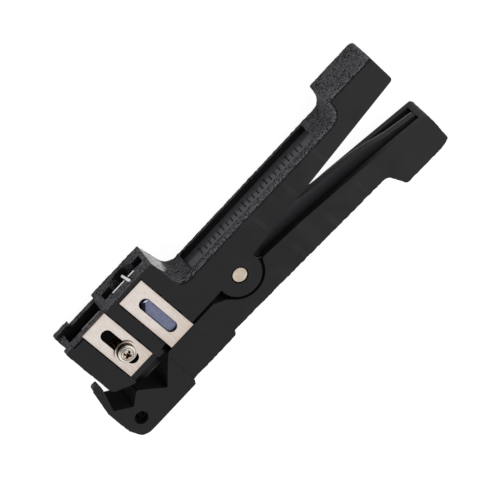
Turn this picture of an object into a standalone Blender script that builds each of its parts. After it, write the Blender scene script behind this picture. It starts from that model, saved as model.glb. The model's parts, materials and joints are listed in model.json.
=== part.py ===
# A coaxial cable stripper: two moulded levers on one pin, two sets of slotted blades and their clamp screws.
# Lengths here are in millimetres and are scaled to metres when each mesh is made. The tool lies on its far
# side: +X runs from the blade head to the handle ends, +Y from the lower lever to the upper lever's back,
# and +Z out of the near side. The pivot is (0, 0) while outlines are drawn, and is moved at the end so that
# the whole tool is centred on the origin.
import bmesh
import bpy
import math
from mathutils import Matrix, Vector

MM = 0.001

# Overall
BODY_T = 14.2  # thickness of both levers
HEAD_FRONT = -55.0
HEAD_BACK = -15.6
HEAD_BOTTOM = 1.0
HEAD_TOP = 26.8
HEAD_CORNER_X = -48.5
HEAD_CORNER_Y = 4.6
END_X = 78.2
LOWER_FRONT = -61.3
LOWER_BOTTOM = -22.8
OVER = 2.0  # how far a cutter runs past the faces that it cuts
INTO = 1.0  # how far a way reaches into the room that it opens

# Upper lever's handle
WAIST_TOP = 13.8
STOP_TOP = 20.7
STOP_X = 58.6
STOP_FOOT_X = 57.2
STOP_FILLET = 4.0
GRIP_ROUND = 1.2
GRIP_FROM = 2.2  # behind the head's back
GRIP_ABOVE = 0.9  # the handle's lower edge
EDGE_ROUND = 0.3
LEVER_LOW_NEAR_PIN = 1.7
LEVER_LOW_AT_END = 8.3
WALL = 2.6
CHANNEL_CEILING = 9.7
STOP_POCKET_TOP = 17.6
PANEL_X = (-9.0, 47.8)
PANEL_NEAR = 1.9
PANEL_FAR = 12.8
PANEL_DEPTH = 2.3

# Pivot
EAR_R = 7.6
ARC_R = 8.7
PIN_R = 2.5
PIN_PLAY = 0.05
PIN_CHAMFER = 0.2
PIN_RING_R = 2.85
PIN_RING_DEPTH = 0.5
HUB_R = 6.8
HUB_ROOM_R = 7.9
RIB_T = 3.2
SIDE_PLAY = 0.3

# Head: rims, windows and channels
RIM_STEP_X = -37.0
RIM_DROP = 1.4
POST_NEAR_X = -51.8
POST_FAR_X = -48.3
POST_T = 2.5
FRONT_INSET = 0.8
WINDOW_A_REACH = (7.65, 9.45)  # from the rear plate's middle to the front and to the back
WINDOW_A_NEAR = 5.3
WINDOW_A_FAR = 9.4
BULGE_SHIFT = 0.95
BULGE_R = 5.9
BULGE_CENTRE_T = 6.3
SHELF_DROP = 0.9
SHELF_T = 1.1
WINDOW_B_FRONT_WALL = 3.0
WINDOW_B_PLAY = 0.5
WINDOW_B_NEAR = 5.4
WINDOW_B_FAR = 11.8
WINDOW_FLOOR = 4.6
RELIEF_X = -34.4
RELIEF_TOP = 2.6
RELIEF_T = 3.0

# Slotted side plates
PLATE_W = 10.2
PLATE_T = 0.8
PLATE_SINK = 0.1
CHANNEL_PLAY = 0.3
SEAT = 0.1
SLOT_W = 4.0
REAR_PLATE_X = -26.65
REAR_PLATE_LOW = -0.1
REAR_PLATE_HIGH = 25.1
REAR_SLOT = (3.4, 20.1)
FRONT_PLATE_X = -42.1
FRONT_PLATE_LOW = 3.6
FRONT_PLATE_HIGH = 26.7
FRONT_SLOT = (5.8, 22.4)

# Rear blade set
BAR_W = 4.6
BAR_PLAY = 0.2
BAR_LOW = 3.0
BAR_SHOULDER = 18.2
BAR_TIP = 19.7
BAR_SLOT = (2.6, 23.0)
BLADE_T = 0.7
REAR_BLADE_W = 9.8
REAR_BLADE_SHIFT = 0.45
REAR_BLADE_LOW = 0.2
REAR_BLADE_HIGH = 26.2
REAR_SCREW_Y = 9.6
REAR_TRAVEL = 3.0
CROSS_PIN_R = 0.65
CROSS_PIN_SHIFT = 1.8
CROSS_PIN_Y = 25.9
CROSS_PIN_T = (2.4, 9.3)
CROSS_PIN_LEAN = 10.6  # degrees
CROSS_NOTCH_W = 2.3
CROSS_NOTCH_SHIFT = 0.41

# Front blade set
FRONT_BLADE_W = 8.0
FRONT_BLADE_LOW = -3.8
FRONT_BLADE_HIGH = 25.1
FRONT_BLADE_SLOT = (5.4, 21.4)
FRONT_SCREW_Y = 11.5
SHANK_R = 1.45
NUT_T = 2.8
NUT_W = 7.4
NUT_Y = (6.8, 17.4)
WALL_SLOT_B = (2.8, 17.6)
WASHER_R = 3.8
WASHER_T = 0.6
HEAD_R = 3.1
HEAD_H = 1.9

# Lower lever
V1_BEFORE_BLADE = 0.3
V1_APEX_Y = -9.1
V1_FRONT_W = 7.15
V1_BACK_W = 8.1
V1_BACK_Y = -1.0
RIDGE_HALF = 0.3
RIDGE_Y = -1.7
V2_APEX_Y = -4.9
V2_FRONT_W = 5.3
V2_BACK_W = 4.45
V2_FRONT_Y = -0.5
LIP_BACK = (5.25, 8.0)  # behind the lower lever's front end, and its height
LIP_BACK_TOP = 5.5
LIP_FRONT_TOP = 3.0
LIP_TOP = 10.8
LIP_T = 2.8
LIP_FOOT = 1.5
ARM_INSET = 0.2
ARM_TOP = -0.35
ARM_END = (-12.7, -8.9)
ARM_NOTCH_Y = -2.7
EAR_SEAT = (6.0, -6.3)
LOWER_TOP_LINE = ((9.0, -1.8), (26.0, -3.2), (42.0, -5.1), (60.0, -7.7))
LOWER_TOP_END = -10.3
LOWER_END_INSET = 0.5
UNDERSIDE_Y = -13.45
UNDERSIDE_SLOPE = -0.033
LOWER_STOP_X = (54.6, 57.2)
LOWER_STOP_END = 4.6
JAW_BOTTOM = -15.9
JAW_FRONT = (2.1, 7.3)
JAW_BACK_X = (-35.6, -34.7)
JAW_BACK_Y = (-14.3, -14.6)
ARM_STEP_X = (-15.4, -14.4)
TROUGH_BEND_X = 54.0
TROUGH_DROP = 1.5
RIB_LINE = ((53.7, -4.3), (48.0, -3.0), (36.0, -1.0))
RIB_END_LINE = ((2.3, -10.4), (8.2, -9.2), (14.2, -7.8), (19.2, -6.0))
HUB_ARC = (77.5, 200.0)  # degrees
RIB_FOOT = (-7.5, -4.5)
EYE_X = -55.2
EYE_Y = -9.7
EYE_R = 2.35
EYE_STEP_R = 1.75
EYE_STEP_T = 2.6
FLOOR_T = 2.3
END_WALL = 2.6

# Return spring
WIRE_R = 0.35
COIL_R = 4.3
COIL_GAP = 0.08  # between the turns
LEG_ANGLES = (118.0, 242.0)  # degrees, where the upper and the lower leg leave the coil
LEG_X = 15.5
LEG_GAP = 0.5

BULGE_X = REAR_PLATE_X + BULGE_SHIFT
REAR_BLADE_X = REAR_PLATE_X + REAR_BLADE_SHIFT
CROSS_PIN_X = REAR_PLATE_X + CROSS_PIN_SHIFT
WINDOW_A_X = (REAR_PLATE_X - WINDOW_A_REACH[0], REAR_PLATE_X + WINDOW_A_REACH[1])
WINDOW_B_X = (
    HEAD_FRONT + WINDOW_B_FRONT_WALL,
    FRONT_PLATE_X + FRONT_BLADE_W / 2 + WINDOW_B_PLAY,
)
V1_APEX_X = FRONT_PLATE_X - V1_BEFORE_BLADE
V1_BACK_X = V1_APEX_X + V1_BACK_W
RIDGE_X = V1_APEX_X - V1_FRONT_W
V2_APEX_X = RIDGE_X - V2_BACK_W
V2_FRONT_X = V2_APEX_X - V2_FRONT_W
CENTRE_X = (END_X + LOWER_FRONT) / 2
CENTRE_Y = (HEAD_TOP + LOWER_BOTTOM) / 2


def clear_scene():
    for obj in list(bpy.data.objects):
        bpy.data.objects.remove(obj, do_unlink=True)
    for mesh in list(bpy.data.meshes):
        bpy.data.meshes.remove(mesh)


def new_collection(name, hidden=False):
    collection = bpy.data.collections.new(name)
    bpy.context.scene.collection.children.link(collection)
    collection.hide_render = hidden
    return collection


def material(name, colour, metallic, roughness):
    made = bpy.data.materials.new(name)
    made.use_nodes = True
    shader = made.node_tree.nodes["Principled BSDF"]
    shader.inputs["Base Color"].default_value = (*colour, 1.0)
    shader.inputs["Metallic"].default_value = metallic
    shader.inputs["Roughness"].default_value = roughness
    made.diffuse_color = (*colour, 1.0)
    return made


def z_at(t):
    # Height above the ground of a layer that lies t below the near face.
    return BODY_T - t


def finish_bmesh(name, bm, collection):
    # Moves the pivot to its place in the row frame and turns millimetres into metres.
    bmesh.ops.remove_doubles(bm, verts=bm.verts, dist=1e-5)
    bmesh.ops.recalc_face_normals(bm, faces=bm.faces)
    bmesh.ops.transform(bm, matrix=Matrix.Translation((-CENTRE_X, -CENTRE_Y, 0.0)), verts=bm.verts)
    bmesh.ops.scale(bm, vec=(MM, MM, MM), verts=bm.verts)
    mesh = bpy.data.meshes.new(name)
    bm.to_mesh(mesh)
    bm.free()
    obj = bpy.data.objects.new(name, mesh)
    collection.objects.link(obj)
    if collection.hide_render:
        obj.display_type = "WIRE"
        obj.hide_render = True
    return obj


def arc_points(cx, cy, r, start, end, step=12.0):
    # Points of an arc in degrees, ends included.
    count = max(2, int(math.ceil(abs(end - start) / step)))
    angles = [math.radians(start + (end - start) * i / count) for i in range(count + 1)]
    return [(cx + r * math.cos(a), cy + r * math.sin(a)) for a in angles]


def rounded(corners, step=15.0):
    # An outline from corners (x, y, radius): each corner with a radius becomes an arc.
    points = []
    n = len(corners)
    for i, (x, y, r) in enumerate(corners):
        if r <= 0:
            points.append((x, y))
            continue
        here = Vector((x, y))
        to_last = (Vector(corners[i - 1][:2]) - here).normalized()
        to_next = (Vector(corners[(i + 1) % n][:2]) - here).normalized()
        half = to_last.angle(to_next) / 2
        reach = r / math.tan(half)
        centre = here + (to_last + to_next).normalized() * (r / math.sin(half))
        first = here + to_last * reach - centre
        last = here + to_next * reach - centre
        turn = first.angle_signed(last)
        count = max(2, int(math.ceil(abs(math.degrees(turn)) / step)))
        for k in range(count + 1):
            spoke = first.copy()
            spoke.rotate(Matrix.Rotation(-turn * k / count, 2))
            points.append((centre.x + spoke.x, centre.y + spoke.y))
    return points


def prism_bmesh(outline, z_low, z_high):
    bm = bmesh.new()
    face = bm.faces.new([bm.verts.new((x, y, z_low)) for x, y in outline])
    grown = bmesh.ops.extrude_face_region(bm, geom=[face])
    top = [v for v in grown["geom"] if isinstance(v, bmesh.types.BMVert)]
    bmesh.ops.translate(bm, vec=(0.0, 0.0, z_high - z_low), verts=top)
    bmesh.ops.recalc_face_normals(bm, faces=bm.faces)
    return bm


def prism(name, outline, z_low, z_high, collection):
    return finish_bmesh(name, prism_bmesh(outline, z_low, z_high), collection)


def box(name, x, y, z, collection):
    outline = [(x[0], y[0]), (x[1], y[0]), (x[1], y[1]), (x[0], y[1])]
    return prism(name, outline, z[0], z[1], collection)


def stadium(cx, y_low, y_high, width, step=15.0):
    # The outline of a slot with round ends, long side along Y.
    r = width / 2
    upper = arc_points(cx, y_high - r, r, 0, 180, step)
    lower = arc_points(cx, y_low + r, r, 180, 360, step)
    return upper + lower


def disc(name, cx, cy, r, z_low, z_high, collection, step=10.0):
    return prism(name, arc_points(cx, cy, r, 0, 360, step)[:-1], z_low, z_high, collection)


def turned(name, profile, cx, cy, collection, steps=32):
    # A solid of revolution about Z through (cx, cy). The profile is (radius, z) from axis to axis.
    bm = bmesh.new()
    verts = [bm.verts.new((r, 0.0, z)) for r, z in profile]
    edges = [bm.edges.new(pair) for pair in zip(verts, verts[1:])]
    bmesh.ops.spin(
        bm,
        geom=verts + edges,
        cent=(0.0, 0.0, 0.0),
        axis=(0.0, 0.0, 1.0),
        angle=math.tau,
        steps=steps,
        use_merge=True,
    )
    bmesh.ops.remove_doubles(bm, verts=bm.verts, dist=1e-4)
    bmesh.ops.translate(bm, vec=(cx, cy, 0.0), verts=bm.verts)
    return finish_bmesh(name, bm, collection)


def combine(target, other, operation="DIFFERENCE"):
    step = target.modifiers.new(other.name, "BOOLEAN")
    step.operation = operation
    step.solver = "EXACT"
    step.object = other


def smooth_by_angle(obj, degrees=32.0):
    # Round faces shade smooth and the rest stay crisp.
    mesh = obj.data
    for polygon in mesh.polygons:
        polygon.use_smooth = True
    bm = bmesh.new()
    bm.from_mesh(mesh)
    for edge in bm.edges:
        edge.smooth = len(edge.link_faces) == 2 and edge.calc_face_angle(0.0) < math.radians(degrees)
    bm.to_mesh(mesh)
    bm.free()


def weigh_normals(obj):
    # Large flat faces keep their own normal where they meet a small rounding.
    step = obj.modifiers.new("weighted_normals", "WEIGHTED_NORMAL")
    step.mode = "FACE_AREA"
    step.keep_sharp = True


def round_ring(bm, radius, segments, wanted):
    # Rounds those edges of the two side faces whose middle passes the test.
    found = []
    for edge in bm.edges:
        a, b = (v.co for v in edge.verts)
        flat = abs(a.z - b.z) < 1e-6 and (abs(a.z) < 1e-6 or abs(a.z - BODY_T) < 1e-6)
        if flat and wanted((a + b) / 2):
            found.append(edge)
    bmesh.ops.bevel(
        bm,
        geom=found,
        offset=radius,
        offset_type="OFFSET",
        segments=segments,
        profile=0.5,
        affect="EDGES",
        clamp_overlap=True,
    )


def lower_edge_of_upper(x):
    slope = (LEVER_LOW_AT_END - LEVER_LOW_NEAR_PIN) / (END_X - EAR_R)
    return LEVER_LOW_NEAR_PIN + slope * (x - EAR_R)


def upper_outline():
    left = math.degrees(math.asin(HEAD_BOTTOM / EAR_R))
    right = math.degrees(math.asin(LEVER_LOW_NEAR_PIN / EAR_R))
    outline = rounded(
        [
            (END_X, LEVER_LOW_AT_END, 1.2),
            (END_X, STOP_TOP, 1.8),
            (STOP_X, STOP_TOP, 0.8),
            (STOP_FOOT_X, WAIST_TOP, STOP_FILLET),
            (HEAD_BACK + 1.7, WAIST_TOP, 4.5),
            (HEAD_BACK, HEAD_TOP, 0.7),
            (HEAD_FRONT, HEAD_TOP, 0.7),
            (HEAD_FRONT, HEAD_CORNER_Y, 1.5),
            (HEAD_CORNER_X, HEAD_BOTTOM, 1.2),
            (-EAR_R, HEAD_BOTTOM, 0),
        ]
    )
    ear = arc_points(0, 0, EAR_R, 180 - left, 360 + right, 9.0)
    return outline[:-1] + ear


def cut_head(body, cutters):
    # Rims, posts and the recessed front wall.
    drop = HEAD_TOP - RIM_DROP
    z_all = (-OVER, BODY_T + OVER)
    z_posts = (POST_T, BODY_T - POST_T)
    high = (drop, HEAD_TOP + 3.0)
    combine(body, box("rim_drop", (POST_FAR_X, RIM_STEP_X), high, z_all, cutters))
    between = (BODY_T - POST_T - 9.2, BODY_T - POST_T)
    combine(body, box("rim_front", (HEAD_FRONT - OVER, POST_FAR_X + 0.4), high, between, cutters))
    near_gap = (BODY_T - POST_T - 0.5, BODY_T + OVER)
    combine(body, box("rim_near", (POST_NEAR_X, POST_FAR_X + 0.4), high, near_gap, cutters))
    front = (HEAD_FRONT - OVER, HEAD_FRONT + FRONT_INSET)
    tall = (HEAD_BOTTOM - OVER, HEAD_TOP + OVER)
    combine(body, box("front_inset", front, tall, z_posts, cutters))


def cut_windows(body, cutters):
    deep = (WINDOW_FLOOR, HEAD_TOP + OVER)
    rear = (z_at(WINDOW_A_FAR), z_at(WINDOW_A_NEAR))
    combine(body, box("window_rear", WINDOW_A_X, deep, rear, cutters))
    front = (z_at(WINDOW_B_FAR), z_at(WINDOW_B_NEAR))
    combine(body, box("window_front", WINDOW_B_X, deep, front, cutters))
    # The bulge is a part-round channel along Y on the window's far side, for the rear screw's head.
    dip = math.degrees(math.asin((BULGE_CENTRE_T - WINDOW_A_NEAR - 0.2) / BULGE_R))
    bm = prism_bmesh(arc_points(0, 0, BULGE_R, -dip, 180 + dip, 16.0), WINDOW_FLOOR, HEAD_TOP + OVER)
    stand = Matrix.Translation((BULGE_X, 0.0, z_at(BULGE_CENTRE_T))) @ Matrix.Rotation(-math.pi / 2, 4, "X")
    bmesh.ops.transform(bm, matrix=stand, verts=bm.verts)
    combine(body, finish_bmesh("window_bulge", bm, cutters))
    # Driver access to the rear screw, through the thin far wall.
    low = REAR_SCREW_Y - HEAD_R - 0.3
    high = REAR_SCREW_Y + HEAD_R + REAR_TRAVEL + 0.3
    access = stadium(REAR_PLATE_X, low, high, 2 * HEAD_R + 0.6)
    combine(body, prism("rear_access", access, -OVER, z_at(BULGE_CENTRE_T), cutters))
    # A shelf in the near wall's top beside the rear blade.
    half = REAR_BLADE_W / 2 + CHANNEL_PLAY
    shelf_x = (REAR_BLADE_X - half, REAR_BLADE_X + half)
    shelf_z = (z_at(WINDOW_A_NEAR + 0.1), z_at(WINDOW_A_NEAR - SHELF_T))
    shelf_y = (HEAD_TOP - SHELF_DROP, HEAD_TOP + OVER)
    combine(body, box("rear_shelf", shelf_x, shelf_y, shelf_z, cutters))
    # Ways out for the blades' lower ends.
    for name, cx, width, near in (
        ("rear_blade_way", REAR_BLADE_X, REAR_BLADE_W, WINDOW_A_NEAR),
        ("front_blade_way", FRONT_PLATE_X, FRONT_BLADE_W, WINDOW_B_NEAR),
    ):
        half = width / 2 + CHANNEL_PLAY
        way_z = (z_at(near + 2 * SEAT + BLADE_T + CHANNEL_PLAY), z_at(near))
        y = (HEAD_BOTTOM - OVER, WINDOW_FLOOR + INTO)
        combine(body, box(name, (cx - half, cx + half), y, way_z, cutters))


def cut_channels(body, cutters):
    depth = PLATE_SINK + PLATE_T + SEAT
    z = (z_at(depth), BODY_T + OVER)
    for name, cx, high in (
        ("rear_channel", REAR_PLATE_X, REAR_PLATE_HIGH + CHANNEL_PLAY),
        ("front_channel", FRONT_PLATE_X, HEAD_TOP + OVER),
    ):
        half = PLATE_W / 2 + CHANNEL_PLAY
        combine(body, box(name, (cx - half, cx + half), (HEAD_BOTTOM - OVER, high), z, cutters))
    wall_a = (z_at(WINDOW_A_NEAR + INTO), BODY_T)
    half = BAR_W / 2 + BAR_PLAY
    bar_way = rounded(
        [
            (REAR_PLATE_X + half, BAR_SLOT[0], 0.3),
            (REAR_PLATE_X + half, BAR_SLOT[1], half - 0.2),
            (REAR_PLATE_X - half, BAR_SLOT[1], half - 0.2),
            (REAR_PLATE_X - half, BAR_SLOT[0], 0.3),
        ]
    )
    combine(body, prism("bar_way", bar_way, wall_a[0], wall_a[1], cutters))
    nut_way = stadium(FRONT_PLATE_X, WALL_SLOT_B[0], WALL_SLOT_B[1], SLOT_W + 0.2)
    combine(body, prism("screw_way", nut_way, z_at(WINDOW_B_NEAR + INTO), BODY_T, cutters))
    middle = CROSS_PIN_X + CROSS_NOTCH_SHIFT
    notch_x = (middle - CROSS_NOTCH_W / 2, middle + CROSS_NOTCH_W / 2)
    notch_y = (CROSS_PIN_Y - CROSS_PIN_R - 0.25, HEAD_TOP + OVER)
    notch_z = (z_at(WINDOW_A_NEAR + INTO), z_at(CROSS_PIN_T[0] - 0.4))
    combine(body, box("cross_notch", notch_x, notch_y, notch_z, cutters))
    # A relief in the lower edge beside the rear plate's foot.
    relief_x = (RELIEF_X, REAR_PLATE_X - PLATE_W / 2 - CHANNEL_PLAY + 0.15)
    relief_z = (z_at(RELIEF_T), BODY_T + OVER)
    combine(body, box("relief", relief_x, (HEAD_BOTTOM - OVER, RELIEF_TOP), relief_z, cutters))


def cut_upper_handle(body, cutters):
    # The recessed panel on the handle's back.
    y = (WAIST_TOP - PANEL_DEPTH, WAIST_TOP + 3.0)
    z = (z_at(PANEL_FAR), z_at(PANEL_NEAR))
    combine(body, box("panel", PANEL_X, y, z, cutters))
    # The channel below, which takes the lower lever's rib, and the room for its hub.
    inner = (WALL, BODY_T - WALL)
    room = rounded(
        [
            (0.0, -20.0, 0),
            (END_X - END_WALL, -20.0, 0),
            (END_X - END_WALL, STOP_POCKET_TOP, 1.5),
            (STOP_X + 1.5, STOP_POCKET_TOP, 1.5),
            (STOP_X - 2.0, CHANNEL_CEILING, 0),
            (0.0, CHANNEL_CEILING, 0),
        ]
    )
    combine(body, prism("upper_channel", room, inner[0], inner[1], cutters))
    combine(body, disc("hub_room", 0, 0, HUB_ROOM_R, inner[0], inner[1], cutters))
    combine(body, disc("pin_hole_upper", 0, 0, PIN_R + PIN_PLAY, -OVER, BODY_T + OVER, cutters))
    for name, z_low, z_high in (
        ("pin_ring_near", BODY_T - PIN_RING_DEPTH, BODY_T + OVER),
        ("pin_ring_far", -OVER, PIN_RING_DEPTH),
    ):
        combine(body, disc(name, 0, 0, PIN_RING_R, z_low, z_high, cutters))


def build_upper_lever(parts, cutters):
    bm = prism_bmesh(upper_outline(), 0.0, BODY_T)
    back = HEAD_BACK + GRIP_FROM

    def on_grip(p):
        return p.x > back and p.y > lower_edge_of_upper(p.x) + GRIP_ABOVE

    round_ring(bm, GRIP_ROUND, 3, on_grip)
    body = finish_bmesh("upper_lever", bm, parts)
    smooth_by_angle(body)
    cut_head(body, cutters)
    cut_windows(body, cutters)
    cut_channels(body, cutters)
    cut_upper_handle(body, cutters)
    weigh_normals(body)
    return body


def lower_underside(x):
    return UNDERSIDE_Y + UNDERSIDE_SLOPE * x


def lower_outline():
    end_top = END_X - LOWER_END_INSET
    seat_x, seat_y = EAR_SEAT
    handle_top = [(x, y, 0) for x, y in reversed(LOWER_TOP_LINE)]
    arm = [
        (seat_x, seat_y, 0),
        (-seat_x, seat_y, 0),
        (ARM_END[1], ARM_NOTCH_Y, 0),
        (ARM_END[0], ARM_TOP, 0.8),
        (V1_BACK_X + 1.0, ARM_TOP, 0),
    ]
    grooves = [
        (V1_BACK_X, V1_BACK_Y, 0),
        (V1_APEX_X, V1_APEX_Y, 0.5),
        (RIDGE_X + RIDGE_HALF, RIDGE_Y, 0),
        (RIDGE_X - RIDGE_HALF, RIDGE_Y, 0),
        (V2_APEX_X, V2_APEX_Y, 0.4),
        (V2_FRONT_X, V2_FRONT_Y, 0),
    ]
    lip = [
        (LOWER_FRONT + LIP_BACK[0], LIP_BACK[1], 1.5),
        (LOWER_FRONT + LIP_BACK_TOP, LIP_TOP, 0.7),
        (LOWER_FRONT + LIP_FRONT_TOP, LIP_TOP, 1.0),
        (LOWER_FRONT + 0.1, 0.0, 2.0),
        (LOWER_FRONT, -9.4, 2.0),
    ]
    jaw = [
        (LOWER_FRONT + JAW_FRONT[0], JAW_BOTTOM + 0.2, 3.6),
        (LOWER_FRONT + JAW_FRONT[1], JAW_BOTTOM, 2.0),
        (JAW_BACK_X[0], JAW_BOTTOM, 0.6),
        (JAW_BACK_X[1], JAW_BACK_Y[0], 0.5),
        (ARM_STEP_X[0], JAW_BACK_Y[1], 0.5),
        (ARM_STEP_X[1], lower_underside(ARM_STEP_X[1]), 0.6),
    ]
    stop = [
        (LOWER_STOP_X[0], lower_underside(LOWER_STOP_X[0]), 2.2),
        (LOWER_STOP_X[1], LOWER_BOTTOM + 0.4, 1.6),
        (END_X - LOWER_STOP_END, LOWER_BOTTOM, 2.0),
        (END_X - 1.2, LOWER_BOTTOM + 0.9, 1.2),
    ]
    return rounded([(end_top, LOWER_TOP_END, 1.4)] + handle_top + arm + grooves + lip + jaw + stop)


def rib_outline():
    end = [(END_X - behind, y) for behind, y in RIB_END_LINE]
    hub = arc_points(0, 0, HUB_R, HUB_ARC[0], HUB_ARC[1], 10.0)
    inset = FLOOR_T / 2
    foot_x, foot_y = RIB_FOOT
    bend = lower_underside(TROUGH_BEND_X) + inset
    foot = [(foot_x, foot_y), (foot_x, lower_underside(foot_x) + inset)]
    return end + list(RIB_LINE) + hub + foot + [(TROUGH_BEND_X, bend), (end[0][0], bend - TROUGH_DROP)]


def build_lower_lever(parts, cutters):
    bm = prism_bmesh(lower_outline(), 0.0, BODY_T)

    def any_edge(p):
        return p.x > 10.0 or p.y < -10.0 or p.x < -13.0

    round_ring(bm, EDGE_ROUND, 1, any_edge)
    body = finish_bmesh("lower_lever", bm, parts)
    smooth_by_angle(body)
    # The handle is a channel between two walls and an end wall.
    floor_left = lower_underside(0.0) + FLOOR_T
    floor_mid = lower_underside(TROUGH_BEND_X) + FLOOR_T
    inner_end = END_X - LOWER_END_INSET - END_WALL
    trough = [
        (0.0, floor_left),
        (TROUGH_BEND_X, floor_mid),
        (inner_end, floor_mid - TROUGH_DROP),
        (inner_end, LIP_TOP),
        (0.0, LIP_TOP),
    ]
    combine(body, prism("trough", trough, WALL, BODY_T - WALL, cutters))
    # Room for the ears and for the spring beside the hub.
    combine(body, disc("ear_room", 0, 0, ARC_R, -OVER, BODY_T + OVER, cutters))
    # The rib along the middle runs into the hub between the ears.
    rib_z = ((BODY_T - RIB_T) / 2, (BODY_T + RIB_T) / 2)
    bm = prism_bmesh(rib_outline(), rib_z[0], rib_z[1])
    combine(body, finish_bmesh("rib", bm, cutters), "UNION")
    hub = disc("hub", 0, 0, HUB_R, WALL + SIDE_PLAY, rib_z[0] + INTO, cutters)
    combine(body, hub, "UNION")
    combine(body, disc("pin_hole_lower", 0, 0, PIN_R + PIN_PLAY, -OVER, BODY_T + OVER, cutters))
    # The eye steps down to a smaller bore in its middle.
    eye = [
        (0, -OVER),
        (EYE_R, -OVER),
        (EYE_R, EYE_STEP_T),
        (EYE_STEP_R, EYE_STEP_T),
        (EYE_STEP_R, z_at(EYE_STEP_T)),
        (EYE_R, z_at(EYE_STEP_T)),
        (EYE_R, BODY_T + OVER),
        (0, BODY_T + OVER),
    ]
    combine(body, turned("eye", eye, EYE_X, EYE_Y, cutters))
    # The lip in front of the head is a thin finger on the near side only.
    lip_x = (LOWER_FRONT - OVER, HEAD_FRONT + INTO)
    combine(body, box("lip_back", lip_x, (LIP_FOOT, LIP_TOP + OVER), (-OVER, z_at(LIP_T)), cutters))
    # The jaw block stands a little proud of the arm and the handle behind it.
    behind = [
        (V1_BACK_X - 0.3, LIP_TOP),
        (V1_BACK_X - 0.3, V1_BACK_Y - 1.1),
        (V1_BACK_X - 0.9, LOWER_BOTTOM - OVER),
        (END_X + OVER, LOWER_BOTTOM - OVER),
        (END_X + OVER, LIP_TOP),
    ]
    combine(body, prism("inset_near", behind, z_at(ARM_INSET), BODY_T + OVER, cutters))
    combine(body, prism("inset_far", behind, -OVER, ARM_INSET, cutters))
    weigh_normals(body)
    return body


def build_pivot_pin(parts):
    r = PIN_R
    low = 0.1
    high = BODY_T - 0.05
    flat = r - PIN_CHAMFER
    profile = [(0, high), (flat, high), (r, high - PIN_CHAMFER), (r, low + PIN_CHAMFER), (flat, low), (0, low)]
    pin = turned("pivot_pin", profile, 0, 0, parts, 40)
    smooth_by_angle(pin)
    return pin


def build_return_spring(parts):
    # A coil beside the hub, with one leg on each lever.
    rib_near = (BODY_T + RIB_T) / 2
    wall_near = BODY_T - WALL
    middle = (rib_near + wall_near) / 2
    pitch = 2 * WIRE_R + COIL_GAP
    start = math.radians(LEG_ANGLES[0])
    # The coil has as many whole turns as the room beside the hub takes.
    part_turn = (LEG_ANGLES[0] - LEG_ANGLES[1] + 360) / 360
    whole_turns = math.floor((wall_near - rib_near - 2 * WIRE_R) / pitch - part_turn)
    sweep = math.tau * (whole_turns + part_turn)
    count = 56
    rise = pitch * sweep / math.tau
    path = []
    for i in range(count + 1):
        angle = start + sweep * i / count
        z = middle + rise / 2 - rise * i / count
        path.append((COIL_R * math.cos(angle), COIL_R * math.sin(angle), z))
    upper_tip = (LEG_X, CHANNEL_CEILING - LEG_GAP, path[0][2])
    lower_tip = (LEG_X, lower_underside(LEG_X) + FLOOR_T + LEG_GAP, path[-1][2])
    points = [upper_tip] + path + [lower_tip]
    curve = bpy.data.curves.new("return_spring_path", "CURVE")
    curve.dimensions = "3D"
    spline = curve.splines.new("POLY")
    spline.points.add(len(points) - 1)
    for point, (x, y, z) in zip(spline.points, points):
        point.co = ((x - CENTRE_X) * MM, (y - CENTRE_Y) * MM, z * MM, 1.0)
    curve.bevel_depth = WIRE_R * MM
    curve.bevel_resolution = 2
    curve.use_fill_caps = True
    guide = bpy.data.objects.new("return_spring_guide", curve)
    bpy.context.scene.collection.objects.link(guide)
    graph = bpy.context.evaluated_depsgraph_get()
    mesh = bpy.data.meshes.new_from_object(guide.evaluated_get(graph))
    bm = bmesh.new()
    bm.from_mesh(mesh)
    bmesh.ops.remove_doubles(bm, verts=bm.verts, dist=1e-6)
    bmesh.ops.recalc_face_normals(bm, faces=bm.faces)
    bm.to_mesh(mesh)
    bm.free()
    bpy.data.objects.remove(guide, do_unlink=True)
    spring = bpy.data.objects.new("return_spring", mesh)
    parts.objects.link(spring)
    smooth_by_angle(spring, 60.0)
    return spring


def build_side_plate(name, cx, low, high, slot, parts, cutters):
    outline = rounded(
        [
            (cx + PLATE_W / 2, low, 0.25),
            (cx + PLATE_W / 2, high, 0.25),
            (cx - PLATE_W / 2, high, 0.25),
            (cx - PLATE_W / 2, low, 0.25),
        ],
        45.0,
    )
    plate = prism(name, outline, z_at(PLATE_SINK + PLATE_T), z_at(PLATE_SINK), parts)
    hole = stadium(cx, slot[0], slot[1], SLOT_W)
    combine(plate, prism(name + "_slot", hole, z_at(5.0), BODY_T + OVER, cutters))
    return plate


def build_blade(name, cx, width, low, high, near, slot, parts, cutters):
    # A flat blade whose lower end is ground from one side to a cutting edge.
    t_near = near + SEAT
    outline = [
        (cx + width / 2, low),
        (cx + width / 2, high),
        (cx - width / 2, high),
        (cx - width / 2, low),
    ]
    blade = prism(name, outline, z_at(t_near + BLADE_T), z_at(t_near), parts)
    grind = 1.6
    bm = bmesh.new()
    bmesh.ops.create_cube(bm, size=1.0)
    bmesh.ops.scale(bm, vec=(width + 2.0, 6.0, 2.0), verts=bm.verts)
    tilt = math.atan2(BLADE_T - 0.12, grind)
    bmesh.ops.translate(bm, vec=(0.0, 0.0, -1.0), verts=bm.verts)
    place = Matrix.Translation((cx, low, z_at(t_near + 0.12))) @ Matrix.Rotation(-tilt, 4, "X")
    bmesh.ops.transform(bm, matrix=place, verts=bm.verts)
    combine(blade, finish_bmesh(name + "_grind", bm, cutters))
    if slot:
        hole = stadium(cx, slot[0], slot[1], SLOT_W - 0.2)
        combine(blade, prism(name + "_slot", hole, z_at(t_near + 3.0), z_at(t_near - 1.0), cutters))
    return blade


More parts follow.
